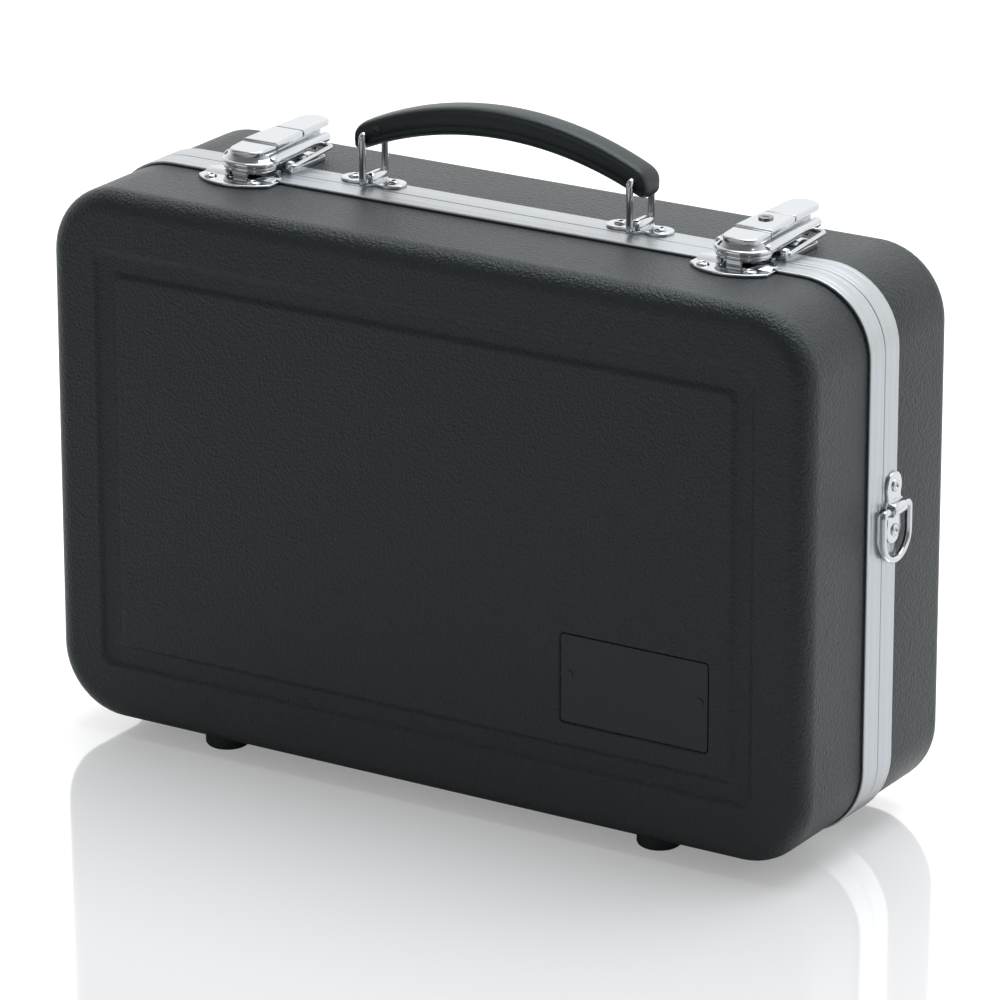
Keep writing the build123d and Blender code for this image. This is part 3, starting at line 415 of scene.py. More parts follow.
def brushed_metal(name, colour, roughness, strength):
    """Metal with lengthwise scratches: a noise squeezed in y to SCRATCH_MM."""
    material, tree, shader = new_finish(name, colour, Metallic=1.0, Roughness=roughness)
    place = add_node(tree, "ShaderNodeTexCoord").outputs["Object"]
    long_way = 1 / (SCRATCH_LENGTH_MM * MM)
    squeezed = add_node(
        tree, "ShaderNodeMapping", {"Scale": (long_way, 1 / (SCRATCH_MM * MM), long_way)},
        Vector=place,
    )
    scratch = add_node(
        tree, "ShaderNodeTexNoise", {"Scale": 1.0, "Detail": 4.0, "Roughness": 0.7},
        Vector=squeezed.outputs[0],
    )
    add_bump(tree, shader, scratch.outputs["Fac"], strength, SCRATCH_DEPTH_MM)
    vary_roughness(tree, shader, scratch.outputs["Fac"], roughness - 0.06, roughness + 0.08)
    vary_colour(tree, shader, scratch.outputs["Fac"], colour, 0.92, 1.06)
    return material


valance_metal = brushed_metal("brushed_anodised_aluminium", "#bcc0c3", 0.34, strength=0.12)

# %% [markdown]
# ## Nickel-chrome plate
#
# The latches, plates and rings are pressed steel under bright nickel-chrome. Pressed sheet is
# never quite flat, so its reflections waver. A weak wide bump and a slightly uneven roughness
# give that without any visible pattern.

# %% Chrome, hinge steel and lock
RIPPLE_MM = 5.0
RIPPLE_DEPTH_MM = 0.3
RIPPLE_STRENGTH = 0.12


def plated_metal(name, colour, roughness):
    """Plated pressed steel: a mirror whose surface wavers by a noise of RIPPLE_MM."""
    material, tree, shader = new_finish(name, colour, Metallic=1.0, Roughness=roughness)
    place = add_node(tree, "ShaderNodeTexCoord").outputs["Object"]
    waver = add_node(
        tree, "ShaderNodeTexNoise", {"Scale": 1 / (RIPPLE_MM * MM), "Detail": 2.0},
        Vector=place,
    )
    add_bump(tree, shader, waver.outputs["Fac"], RIPPLE_STRENGTH, RIPPLE_DEPTH_MM)
    vary_roughness(tree, shader, waver.outputs["Fac"], roughness * 0.6, roughness * 1.5)
    return material


chrome = plated_metal("bright_nickel_chrome", "#cdd0d3", 0.1)
hinge_steel = plated_metal("plated_hinge_steel", "#b9bcbf", 0.24)
rivet_metal = plated_metal("blackened_steel_rivet", "#45484a", 0.35)
lock_metal = plated_metal("satin_nickel_lock", "#8c8e8f", 0.2)

# %% [markdown]
# ## Plush lining
#
# The wells are flocked or covered with short plush. Plush scatters light from the tips of its
# pile, which brightens its edges. The Principled shader's sheen does that, and a fine noise
# gives the lie of the pile.

# %% Lining fabric
PILE_MM = 0.9
PILE_DEPTH_MM = 0.4
NAP_MM = 14


def plush(name, colour):
    """Short pile: fine noise as bump, cloudy nap as colour, sheen for the tips."""
    material, tree, shader = new_finish(
        name, colour, Roughness=0.95, Sheen_Weight=0.5, Sheen_Roughness=0.4
    )
    place = add_node(tree, "ShaderNodeTexCoord").outputs["Object"]
    pile = add_node(
        tree, "ShaderNodeTexNoise", {"Scale": 1 / (PILE_MM * MM), "Detail": 3.0}, Vector=place
    )
    nap = add_node(
        tree, "ShaderNodeTexNoise", {"Scale": 1 / (NAP_MM * MM), "Detail": 4.0}, Vector=place
    )
    add_bump(tree, shader, pile.outputs["Fac"], 0.6, PILE_DEPTH_MM)
    vary_colour(tree, shader, nap.outputs["Fac"], colour, 0.55, 1.6)
    return material


lining_plush = plush("short_black_plush", "#2b2d33")

FINISHES = {
    "shell_plastic": shell_plastic,
    "valance_aluminium": valance_metal,
    "hardware_chrome": chrome,
    "hinge_steel": hinge_steel,
    "lock_brass": lock_metal,
    "grip_plastic": grip_plastic,
    "badge_enamel": badge_plastic,
    "foot_rubber": foot_plastic,
    "lining_plush": lining_plush,
}
NODE_SLOT = {row["node"]: row["material_slot"] for row in frame["record"]["subparts"]}
for node_name, node in frame["nodes"].items():
    node.data.materials.clear()
    node.data.materials.append(FINISHES[NODE_SLOT[node_name]])
print("finishes:", len(FINISHES))

# %% [markdown]
# ## The tubs
#
# Each tub is a stack of rounded rectangles. It could be a box with bevelled edges, but the
# stack gives exact control of every roll and step: the round front edge, the sunk channel with
# soft shoulders that frames the panel, and the pocket for the badge plate. A row of points
# just before and after each bend keeps the flat faces flat when they are shaded smooth.

# %% Front and rear tub
SHELL_WALL = 3.0
SHELL_CORNER = 28.9
CHANNEL_HALF = np.array([150.5, 87.0])
CHANNEL_WIDTH = 8.6
CHANNEL_DEPTH = 1.2
CHANNEL_CORNER = 5.0
PANEL_CORNER = 3.0
SHOULDER = 1.5
BEND_MARGIN = 0.8
FLAT_MARGIN = 0.6
strip_reach = SEAM_Y - lid_strip_low[1]
STRIP_GROOVE = [(0, -0.3), (0.6, 0.1), (0.6, 0.35), (0.1, 1.0), (0, 1.6)]
badge_low, badge_high = node_box("badge_plate")
BADGE_MIDDLE = (badge_low + badge_high) / 2
BADGE_HALF = (badge_high - badge_low) / 2
POCKET_FIT = 0.5
POCKET_LIP = 0.5
POCKET_CORNER = 2.5
POCKET_FLOOR_CORNER = 1.5
POCKET_MARGIN = 0.7
POCKET_DEPTH = 1.0
LID_EDGE_RADIUS = 9.0
BODY_EDGE_RADIUS = 7.0
LID_RIM = SEAM_Y - lid_high[1]


def soft_step(count=7):
    """Shares s from 0 to 1 and their smooth steps, 3 s squared minus 2 s cubed."""
    share = np.linspace(0, 1, count)
    return share, share**2 * (3 - 2 * share)


def framed_ring(inset, out):
    """Station at an inset from the channel's outer edge and a distance out from the seam.

    The corner's radius goes from the channel's to the panel's across the channel.
    """
    share = np.clip(inset / CHANNEL_WIDTH, 0, 1)
    corner = CHANNEL_CORNER + (PANEL_CORNER - CHANNEL_CORNER) * share
    return (0, MIDDLE_Z, *(CHANNEL_HALF - inset), corner, out)


def pocket_ring(growth, out):
    """Station of the badge pocket's edge grown all round, at a distance out from the seam.

    The corner's radius grows with it, but is never less than that of the pocket's floor.
    """
    half = BADGE_HALF[[0, 2]] + POCKET_FIT + growth
    corner = max(POCKET_CORNER - POCKET_LIP + growth, POCKET_FLOOR_CORNER)
    return (*BADGE_MIDDLE[[0, 2]], *half, corner, out)


def tub_stations(rim, face, edge_radius, pocket):
    """Stations of a tub whose last value is the distance out from the seam.

    They run from the inner face to the rim, past the strip and over the round edge, through
    the channel and on to the middle of the panel, or to the floor of the badge pocket. The
    groove beside the strip is a list of (inset, distance from the strip's edge).
    """

    def ring(inset, out):
        """Station of the tub's outline moved in, at a distance out from the seam."""
        return (0, MIDDLE_Z, *(SHELL_HALF - inset), SHELL_CORNER - inset, out)

    inner_radius = edge_radius - SHELL_WALL
    rows = [ring(SHELL_WALL + inner_radius + 1, face - SHELL_WALL)]
    rows += [
        ring(
            SHELL_WALL + inner_radius * (1 - np.cos(angle)),
            face - edge_radius + inner_radius * np.sin(angle),
        )
        for angle in np.linspace(np.pi / 2, 0, 9)
    ]
    rows += [ring(SHELL_WALL, rim), ring(0, rim)]
    rows += [ring(inset, strip_reach + out) for inset, out in STRIP_GROOVE]
    rows += [ring(0, face - edge_radius - 1)]
    rows += [
        ring(edge_radius * (1 - np.cos(angle)), face - edge_radius * (1 - np.sin(angle)))
        for angle in np.linspace(0, np.pi / 2, 13)
    ]
    rows.append(ring(edge_radius + BEND_MARGIN, face))

    share, fall = soft_step()
    across = (share * 2 - 1) * SHOULDER
    sunk = face - CHANNEL_DEPTH
    outside, inside = SHOULDER + FLAT_MARGIN, SHOULDER + BEND_MARGIN
    rows.append(framed_ring(-outside, face))
    rows += [framed_ring(i, face - d) for i, d in zip(across, fall * CHANNEL_DEPTH)]
    rows += [framed_ring(inside, sunk), framed_ring(CHANNEL_WIDTH - inside, sunk)]
    rows += [
        framed_ring(CHANNEL_WIDTH + i, sunk + d) for i, d in zip(across, fall * CHANNEL_DEPTH)
    ]
    rows.append(framed_ring(CHANNEL_WIDTH + outside, face))
    if pocket:
        rows.append(pocket_ring(POCKET_LIP + FLAT_MARGIN, face))
        rows += [
            pocket_ring(POCKET_LIP - i, face - d) for i, d in zip(share, fall * POCKET_DEPTH)
        ]
        rows.append(pocket_ring(-POCKET_LIP - POCKET_MARGIN, face - POCKET_DEPTH))
    return rows


def make_tub(name, body, direction, rim, face, edge_radius, pocket):
    """A tub as one closed skin. direction is -1 for the front tub and 1 for the rear one."""
    stations = np.array(tub_stations(rim, face, edge_radius, pocket))
    stations[:, 5] = SEAM_Y + direction * stations[:, 5]
    patch = grid_patch(stack_rings(stations), first_end=True, last_end=True)
    make_piece(name, [patch], shell_plastic, body)


make_tub("front_shell", "lid", -1, LID_RIM, SEAM_Y - FRONT_Y, LID_EDGE_RADIUS, True)
make_tub("rear_shell", "body", 1, LID_RIM, REAR_Y - SEAM_Y, BODY_EDGE_RADIUS, False)

# %% [markdown]
# ## The valance
#
# Valance strip is drawn through a die, so its section is the same all the way round: an outer
# flange with rolled edges and two shallow lines, a web at the seam and an inner flange. The
# section is carried round the rounded rectangle of the case.

# %% Two valance strips
STRIP_WALL = 1.0
STRIP_WEB = 1.2
STRIP_CORNER = 30.0
WALL_BAND = 4.2
FLANGE_DEPTH = 8.0
LINE_DEPTH = 0.06
LINE_PLACES = (2.9, 8.3)
# distance from the line's middle, share of its depth
LINE_SECTION = [(-0.35, 0), (-0.15, 0.6), (0, 1), (0.15, 0.6), (0.35, 0)]


def strip_section():
    """The strip's section as (inset, distance from the seam), a closed loop."""
    near = SEAM_GAP / 2
    web_end = near + STRIP_WEB
    lines = [
        (LINE_DEPTH * dip, place + side)
        for place in LINE_PLACES
        for side, dip in LINE_SECTION
    ]
    corners = [(0, near)] + lines + [
        (0, strip_reach), (STRIP_WALL, strip_reach), (STRIP_WALL, web_end),
        (WALL_BAND, web_end), (WALL_BAND, FLANGE_DEPTH), (WALL_BAND + STRIP_WALL, FLANGE_DEPTH),
        (WALL_BAND + STRIP_WALL, near),
    ]
    radii = [0.3] + [0] * len(lines) + [0.45, 0.2, 0, 0, 0.2, 0.2, 0.2]
    return round_corners(corners, radii, 4)


def make_valance(name, body, direction):
    """Carries the section round the case. direction is -1 for the lid's strip."""
    inset, out = strip_section().T
    one = np.ones(len(inset))
    stations = np.stack(
        [0 * one, MIDDLE_Z * one, STRIP_HALF[0] - inset, STRIP_HALF[1] - inset,
         STRIP_CORNER - inset, SEAM_Y + direction * out], -1,
    )
    patch = grid_patch(stack_rings(stations), closed=True)
    make_piece(name, [patch], valance_metal, body)


make_valance("front_valance", "lid", -1)
make_valance("rear_valance", "body", 1)

# %% [markdown]
# ## The grip
#
# The grip is a moulded bar that bows upwards. Its section is an oval, squarer than an ellipse,
# with a groove pressed in along each side. The section is carried along the bow, and near both
# ends it shrinks along a curve that is a little fuller than a quarter circle, which gives the
# rounded nose.

# %% Handle grip
grip_low, grip_high = node_box("handle_grip")
GRIP_MIDDLE = (grip_low + grip_high) / 2
GRIP_HALF = (grip_high - grip_low) / 2
GRIP_UNDER_RADIUS = 156.0
GRIP_TOP_RADIUS = 151.0
GRIP_UNDER_CROWN = TOP_Z + 27.7
GRIP_NOSE = 5.6
GRIP_CHEEK = 2.6
GRIP_SQUARE = 0.52
GROOVE_DEPTH = 0.55
GROOVE_PLACE = -0.38
GROOVE_WIDTH = 0.1


def grip_station(x):
    """Middle height, half height and half width of the section at x from the grip's middle.

    The upper and lower edge are arcs: crown - radius + sqrt(radius ** 2 - x ** 2). The height
    shrinks by (1 - u ** 3) ** (1 / 3), where u goes from 0 to 1 over the last GRIP_NOSE
    millimetres, and the width does so over the last GRIP_CHEEK.
    """
    under = GRIP_UNDER_CROWN - GRIP_UNDER_RADIUS + np.sqrt(GRIP_UNDER_RADIUS**2 - x**2)
    over = grip_high[2] - GRIP_TOP_RADIUS + np.sqrt(GRIP_TOP_RADIUS**2 - x**2)
    nose, cheek = [
        (1 - np.clip((np.abs(x) - GRIP_HALF[0]) / reach + 1, 0, 0.9999) ** 3) ** (1 / 3)
        for reach in (GRIP_NOSE, GRIP_CHEEK)
    ]
    return (over + under) / 2, (over - under) / 2 * nose, GRIP_HALF[1] * (0.5 + 0.5 * cheek)


def make_grip():
    """Rows run along the grip and columns round it.

    The section is an oval whose sine and cosine are raised to the power GRIP_SQUARE, which
    makes it squarer than an ellipse. The groove is exp(-(distance / GROOVE_WIDTH) squared),
    with heights as shares of the section's half height.
    """
    x = GRIP_HALF[0] * np.sin(np.linspace(-1, 1, 89) * np.pi / 2)
    middle, half_z, half_y = [value[:, None] for value in grip_station(x)]
    angle = np.linspace(0, 2 * np.pi, 64, endpoint=False)
    side = np.sign(np.cos(angle)) * np.abs(np.cos(angle)) ** GRIP_SQUARE
    high = np.sign(np.sin(angle)) * np.abs(np.sin(angle)) ** GRIP_SQUARE
    groove = np.exp(-(((high - GROOVE_PLACE) / GROOVE_WIDTH) ** 2)) * (np.abs(side) > 0.5)
    fade = half_z / half_z.max()
    y = GRIP_MIDDLE[1] + half_y * side - GROOVE_DEPTH * np.sign(side) * groove * fade
    z = middle + half_z * high
    points = np.stack([GRIP_MIDDLE[0] + x[:, None] + 0 * y, y, z], -1)
    patch = grid_patch(points, first_end=True, last_end=True)
    make_piece(
        "handle_grip", [patch], grip_plastic, "handle_grip", sharp_deg=50
    )


make_grip()

# %% [markdown]
# ## Rivets of the grip
#
# A thin pin crosses the grip near each end and is headed over on both cheeks. Each head lies
# on the moulding, so its place comes from the grip's own section at that end, a little above
# the middle where the oval is widest.

# %% Heads on the grip's cheeks
GRIP_HEAD_RADIUS = 1.9
HEAD_FROM_END = 4.6
HEAD_RISE = 0.15
left_rivet_x = node_box("handle_grip_rivets")[0][0] + GRIP_HEAD_RADIUS
GRIP_HEAD_X = (left_rivet_x, grip_high[0] - HEAD_FROM_END)
HEAD_PROFILE = [(0.3, -1.2), (1.7, -1.2), (1.7, 0.1), (1.45, 0.32), (0.9, 0.42), (0.2, 0.44)]

head_patches = []
for head_x in GRIP_HEAD_X:
    middle, half_z, half_y = grip_station(head_x - GRIP_MIDDLE[0])
    for sign in (-1, 1):
        profile = [(radius, sign * height) for radius, height in HEAD_PROFILE]
        seat = (head_x, GRIP_MIDDLE[1] + sign * half_y, middle + HEAD_RISE * half_z)
        head_patches.append(turned_patch(profile, seat, "y", 20))
make_piece(
    "handle_grip_rivets", head_patches, rivet_metal, "handle_grip",
    sharp_deg=45,
)

# %% [markdown]
# ## Rivets
#
# The rivets are tubular: a low dome with a dimple where the setting tool spread the shank. One
# turned profile is placed at each seat, facing out of the surface that it holds.

# %% Rivet heads
RIVET_RADIUS = 2.6
RIVET_HEIGHT = 1.0
DIMPLE_RADIUS = 1.35
RIVET_PROFILE = [
    (0.5, -0.3), (RIVET_RADIUS, -0.3), (RIVET_RADIUS, 0.15), (2.5, 0.42), (2.25, 0.72),
    (1.9, 0.94), (1.6, RIVET_HEIGHT), (DIMPLE_RADIUS, 0.92), (1.15, 0.6), (1.0, 0.35),
    (0.6, 0.28), (0.15, 0.28),
]


def rivet_patches(seats, axis="z", outwards=1):
    """A rivet on each seat. outwards is 1 or -1 along the axis."""
    profile = [(radius, outwards * height) for radius, height in RIVET_PROFILE]
    return [turned_patch(profile, seat, axis, 20) for seat in seats]


def make_rivets(name, body, patches):
    """One object that holds all the rivets of a plate."""
    make_piece(name, patches, chrome, body, sharp_deg=45)


def seats_from(node, spacing, along, level_axis, level):
    """Two seats spaced along an axis about the middle of a node.

    along and level_axis are axis numbers, and level is the height of the seats on the latter.
    """
    low, high = node_box(node)
    middle = (low + high) / 2
    seats = np.tile(middle, (2, 1))
    seats[:, along] += [-spacing / 2, spacing / 2]
    seats[:, level_axis] = level
    return seats


PLATE_THICKNESS = 1.2
PLATE_RIVETS = 18.0
PLATE_TOP_Z = TOP_Z + PLATE_THICKNESS
plate_seats = [
    seats_from(f"handle_plate_{side}", PLATE_RIVETS, 0, 2, PLATE_TOP_Z)
    for side in ("left", "right")
]
make_rivets("handle_plate_rivets", "body", rivet_patches(np.vstack(plate_seats)))

# %% [markdown]
# ## Rivets under the latches
#
# Each latch has two rivets in the wings of its catch plate and two in its base plate. Both
# plates are of the same sheet, so one thickness sets the height of all the heads above the
# shell and above the strip.

# %% Rivets of the latches
CATCH_RIVETS = 20.6
CATCH_RIVET_Y = SEAM_Y - 19.8
CATCH_FIT = 0.1
CATCH_LOW_Z = lid_high[2] + CATCH_FIT
BASE_RIVETS = 13.0
BASE_RIVET_Y = SEAM_Y + 19.0
for side in ("left", "right"):
    seats = seats_from(f"catch_plate_{side}", CATCH_RIVETS, 0, 2, CATCH_LOW_Z + PLATE_THICKNESS)
    seats[:, 1] = CATCH_RIVET_Y
    make_rivets(f"catch_rivets_{side}", "lid", rivet_patches(seats))
    seats = seats_from(f"latch_base_{side}", BASE_RIVETS, 0, 2, PLATE_TOP_Z)
    seats[:, 1] = BASE_RIVET_Y
    make_rivets(f"latch_base_rivets_{side}", "body", rivet_patches(seats))

# %% [markdown]
# ## Eared plates
#
# Two plates hold the handle and two hold the strap rings. They are pressed from sheet: two
# round ears for the rivets and a saddle across the middle that the wire turns in. The outline
# is the largest of three half widths at each point: the ears' circle, the waist and the
# saddle's foot. They are blended by a high power, so that the corners between them are soft.

# %% Handle plates and strap plates
PLATE_HALF_LENGTH = 14.5
EAR_RADIUS = 5.6
WAIST = 5.0
SADDLE_FOOT = 3.4
SADDLE_HALF_WIDTH = 6.8
SADDLE_HALF_LENGTH = 4.8
WIRE_RISE = 1.9
SADDLE_RADIUS = 2.78
PLATE_EDGE = 0.45
SIDE_X = STRIP_HALF[0]


def eared_outline():
    """Closed outline: half width = (ear^9 + waist^9 + foot^9) ^ (1/9) along the plate."""
    along = -PLATE_HALF_LENGTH * np.cos(np.linspace(0, np.pi, 61))
    ear_middle = PLATE_HALF_LENGTH - EAR_RADIUS
    ear = np.sqrt(np.clip(EAR_RADIUS**2 - (np.abs(along) - ear_middle) ** 2, 0, None))
    waist = WAIST * (np.abs(along) < ear_middle)
    foot = SADDLE_HALF_WIDTH / (1 + (np.abs(along) / SADDLE_FOOT) ** 14)
    half_width = (ear**9 + waist**9 + foot**9) ** (1 / 9)
    upper = np.stack([along, half_width], -1)
    lower = np.stack([along, -half_width], -1)[::-1]
    return np.vstack([upper, lower[1:-1]])


def saddle_patch():
    """The raised saddle: an arch with flared feet, its two open ends rounded over."""
    arch = np.linspace(np.radians(-8), np.radians(188), 25)
    ring = np.stack([SADDLE_RADIUS * np.cos(arch), WIRE_RISE + SADDLE_RADIUS * np.sin(arch)], -1)
    flare = np.array([[SADDLE_RADIUS + 1.0, 1.15], [SADDLE_RADIUS + 0.35, 1.25]])
    other = flare[::-1] * [-1, 1]
    section = np.vstack([flare, ring, other, [[-SADDLE_RADIUS, 0.5], [SADDLE_RADIUS, 0.5]]])
    reach = np.array([-1.0, -0.97, -0.9, 0.9, 0.97, 1.0]) * SADDLE_HALF_LENGTH
    shrink = np.array([0.72, 0.92, 1.0, 1.0, 0.92, 0.72])[:, None]
    x = section[:, 0] * shrink
    z = WIRE_RISE + (section[:, 1] - WIRE_RISE) * shrink
    points = np.stack([x, reach[:, None] + 0 * x, z], -1)
    return grid_patch(points, first_end=True, last_end=True)


def placed(patch, order, signs, origin):
    """A patch with its axes turned and moved to origin.

    Each output axis takes the numbered input axis times its sign.
    """
    points, faces = patch
    return points[:, order] * signs + origin, faces


def make_eared_plate(name, upright_side=0):
    """A plate with its saddle.

    upright_side is 0 for a plate on the top, or -1 or 1 for one on the left or right end.
    """
    levels = [(0.25, 0.0), (0.0, 0.25), (0.0, PLATE_THICKNESS - PLATE_EDGE)]
    levels += round_edge(PLATE_EDGE, PLATE_THICKNESS)[1:]
    patches = [plate_patch(eared_outline(), levels), saddle_patch()]
    low, high = node_box(name)
    middle = (low + high) / 2
    if upright_side:
        origin = (upright_side * SIDE_X, middle[1], middle[2])
        order, signs = [2, 1, 0], (upright_side, 1, 1)
    else:
        origin, order, signs = (middle[0], middle[1], TOP_Z), [0, 1, 2], (1, 1, 1)
    patches = [placed(patch, order, signs, origin) for patch in patches]
    make_piece(name, patches, chrome, "body", sharp_deg=40)


for side, sign in (("left", -1), ("right", 1)):
    make_eared_plate(f"handle_plate_{side}")
    make_eared_plate(f"strap_plate_{side}", sign)

strap_patches = []
for side, sign in (("left", -1), ("right", 1)):
    seat_x = sign * (SIDE_X + PLATE_THICKNESS)
    seats = seats_from(f"strap_plate_{side}", PLATE_RIVETS, 2, 0, seat_x)
    strap_patches += rivet_patches(seats, "x", sign)
make_rivets("strap_plate_rivets", "body", strap_patches)

# %% [markdown]
# ## The latches
#
# A latch has three levels. A winged catch plate is riveted to the lid and steps down in front
# of the strip. A base plate on the body holds a wire bail in two ears. The bail carries the
# hasp: a pressed plate with a round front whose turned-down rim hooks over the catch's lip,
# rolled sides, and a cover with a front tab, a middle and a finger tip. Pulling the finger tip
# up slackens the bail and frees the rim. All sizes of a latch are measured from the seam
# backwards and from the top of the strip upwards.

# %% Catch plates and bases
CATCH_HALF = 17.0
CATCH_FRONT = -26.0
CATCH_SHOULDER = -18.5
CATCH_SIDE = -9.8
CATCH_NECK_HALF = 11.0
CATCH_NECK = -4.0
CATCH_BACK = -0.9
CATCH_STEP = -12.5
CATCH_EDGE = 0.55
RAMP_SIDE = [(-12.4, 0.1), (-14.8, 0.1), (-12.9, 1.16), (-12.4, 1.18)]
RAMP_HALF = CATCH_HALF - 0.6
LIP_SIDE = [(-12.9, 0.0), (-14.3, 0.0), (-14.9, 4.4), (-13.5, 4.4)]
LIP_HALF = 3.4
SEAT_LOW = CATCH_LOW_Z - TOP_Z
BASE_NEAR = 0.6
BASE_EDGE = 0.4
BASE_CORNER = 2.5
BAIL_EYE = (1.2, 2.6)
KNOB_PROFILE = [
    (0.2, -1.3), (1.9, -1.3), (2.3, -0.9), (2.3, 0.1), (2.15, 0.6), (1.6, 1.0), (0.2, 1.2),
]
WEB_SIDE = [(0.6, 0.4), (5.8, 0.4), (3.3, 3.2), (-0.4, 3.2)]
WEB_THICKNESS = 1.2


def catch_outlines():
    """Outline of the wings in front of the step, and of the raised part behind it.

    The front is an arc through the shoulders: radius = (w squared + h squared) / (2 h), where
    w is the half width and h the distance from the front to the shoulders.
    """
    rise = CATCH_SHOULDER - CATCH_FRONT
    radius = (CATCH_HALF**2 + rise**2) / (2 * rise)
    reach = np.arcsin(CATCH_HALF / radius)
    swing = np.linspace(-reach, reach, 25)
    arc = np.stack([radius * np.sin(swing), CATCH_FRONT + radius * (1 - np.cos(swing))], -1)
    wings = np.vstack([arc, [(CATCH_HALF, CATCH_STEP + 1), (-CATCH_HALF, CATCH_STEP + 1)]])
    wings = round_corners(wings, [1.5] + [0] * 23 + [1.5, 0.6, 0.6], 5)
    raised = [
        (-CATCH_HALF, CATCH_STEP), (CATCH_HALF, CATCH_STEP), (CATCH_HALF, CATCH_SIDE),
        (CATCH_NECK_HALF, CATCH_NECK), (CATCH_NECK_HALF, CATCH_BACK),
        (-CATCH_NECK_HALF, CATCH_BACK), (-CATCH_NECK_HALF, CATCH_NECK), (-CATCH_HALF, CATCH_SIDE),
    ]
    return wings, round_corners(raised, [0.6, 0.6, 1.2, 1.6, 0.6, 0.6, 1.6, 1.2], 5)


def sheet_levels(low, high, edge):
    """Levels of a pressed sheet: a crisp lower edge and a rolled upper one."""
    return [(0.1, low), (0.0, low + 0.15), (0.0, high - edge)] + round_edge(edge, high, 6)[1:]


def make_latch_part(name, patches, middle_node, body):
    """A chromed piece of a latch from patches about the latch's own middle.

    Their zero is the seam and the strip's top, and the middle of middle_node along the case.
    """
    low, high = node_box(middle_node)
    origin = ((low[0] + high[0]) / 2, SEAM_Y, TOP_Z)
    patches = [placed(patch, [0, 1, 2], (1, 1, 1), origin) for patch in patches]
    make_piece(name, patches, chrome, body, sharp_deg=35)


def tapered(front, rear, front_half, rear_half):
    """Four corners of an outline with its own half width at each end."""
    return [(-front_half, front), (front_half, front), (rear_half, rear), (-rear_half, rear)]


def cross_plate(side, low, high, inset, run, sign=1, x=0.0):
    """A plate drawn in (y, z) that reaches from low to high along x, times sign, plus x.

    Its two edges are cut back by inset over the length run.
    """
    levels = [(inset, low), (0, low + run), (0, high - run), (inset, high)]
    return placed(plate_patch(np.array(side), levels), [2, 0, 1], (sign, 1, 1), (x, 0, 0))


def make_catch(side):
    """Wings on the shell, the raised part over the strip, the ramp between them and the lip."""
    wings, raised = catch_outlines()
    lip = round_corners(LIP_SIDE, [0, 0, 0.5, 0.5], 4)
    patches = [
        plate_patch(wings, sheet_levels(SEAT_LOW, SEAT_LOW + PLATE_THICKNESS, CATCH_EDGE)),
        plate_patch(raised, sheet_levels(0.0, PLATE_THICKNESS, CATCH_EDGE)),
        cross_plate(RAMP_SIDE, -RAMP_HALF, RAMP_HALF, 0.05, 0.1),
        cross_plate(lip, -LIP_HALF, LIP_HALF, 0.4, 0.4),
    ]
    make_latch_part(f"catch_plate_{side}", patches, f"catch_plate_{side}", "lid")


def make_latch_base(side):
    """Base plate with two round ears that the bail's ends turn in."""
    name = f"latch_base_{side}"
    low, high = node_box(name)
    half = (high[0] - low[0]) / 2
    corners = tapered(BASE_NEAR, high[1] - SEAM_Y, half, half)
    outline = round_corners(corners, [0.6, 0.6, BASE_CORNER, BASE_CORNER], 6)
    web = round_corners(WEB_SIDE, [0, 0, 0.8, 0.8], 4)
    patches = [plate_patch(outline, sheet_levels(SEAT_LOW, PLATE_THICKNESS, BASE_EDGE))]
    for sign in (-1, 1):
        knob = [(radius, sign * height) for radius, height in KNOB_PROFILE]
        patches.append(turned_patch(knob, (sign * half, *BAIL_EYE), "x", 24))
        patches.append(cross_plate(web, -WEB_THICKNESS, 0, 0.2, 0.2, sign, sign * half))
    make_latch_part(name, patches, name, "body")


for side in ("left", "right"):
    make_catch(side)
    make_latch_base(side)

# %% [markdown]
# ## Hasp plates
#
# The hasp plate is one pressed blank. Its front is drawn down into a rim with a second ring
# above it, and its two long sides are rolled into tubes that stiffen it. The sheet is the
# blank's outline moved inwards row by row, and the two kinds of edge blend into each other
# where the rolls begin.

# %% Hasp plates
HASP_HALF = 12.5
HASP_FRONT = -16.6
HASP_CORNER = 11.5
HASP_REAR = 36.0
HASP_REAR_HALF = 10.4
ROLL_RADIUS = 2.1
ROLL_FRONT = -7.0
ROLL_RISE = 5.8
LUG_MIDDLE = 29.5
LUG_HALF = 3.0
LUG_LOW = 2.2
LUG_HIGH = 5.4
LUG_INNER = 5.6
LUG_OUTER = 9.6
RING_END = -7.5
RING_FADE = 3.0
RIM_FRONT_ROWS = [
    (2.1, 5.2), (1.6, 5.2), (1.6, 2.5), (1.4, 2.3), (1.0, 2.3), (0.7, 2.6), (0.55, 3.3),
    (0.7, 3.8), (1.15, 4.25), (1.0, 4.6), (0.35, 4.8), (0.0, 5.2), (0.1, 5.7), (0.5, 6.1),
    (1.1, 6.35), (1.7, 6.4),
]
RIM_SIDE_ROWS = [
    (2.1, 5.2), (1.6, 5.2), (1.2, 5.2), (0.8, 5.2), (0.4, 5.2), (0.1, 5.25), (0.0, 5.35),
    (0.0, 5.45), (0.0, 5.5), (0.0, 5.6), (0.0, 5.7), (0.0, 5.8), (0.0, 6.0), (0.1, 6.2),
    (0.4, 6.35), (1.7, 6.4),
]


def hasp_outline():
    """Round front, sides that draw together towards the back."""
    rear_half = HASP_REAR_HALF - ROLL_RADIUS
    straight = HASP_FRONT + HASP_CORNER + 0.1
    corners = [
        (HASP_HALF, HASP_FRONT), (HASP_HALF, straight), (rear_half, HASP_REAR),
        (-rear_half, HASP_REAR), (-HASP_HALF, straight), (-HASP_HALF, HASP_FRONT),
    ]
    return round_corners(corners, [HASP_CORNER, 0, 0.6, 0.6, 0, HASP_CORNER], 20)


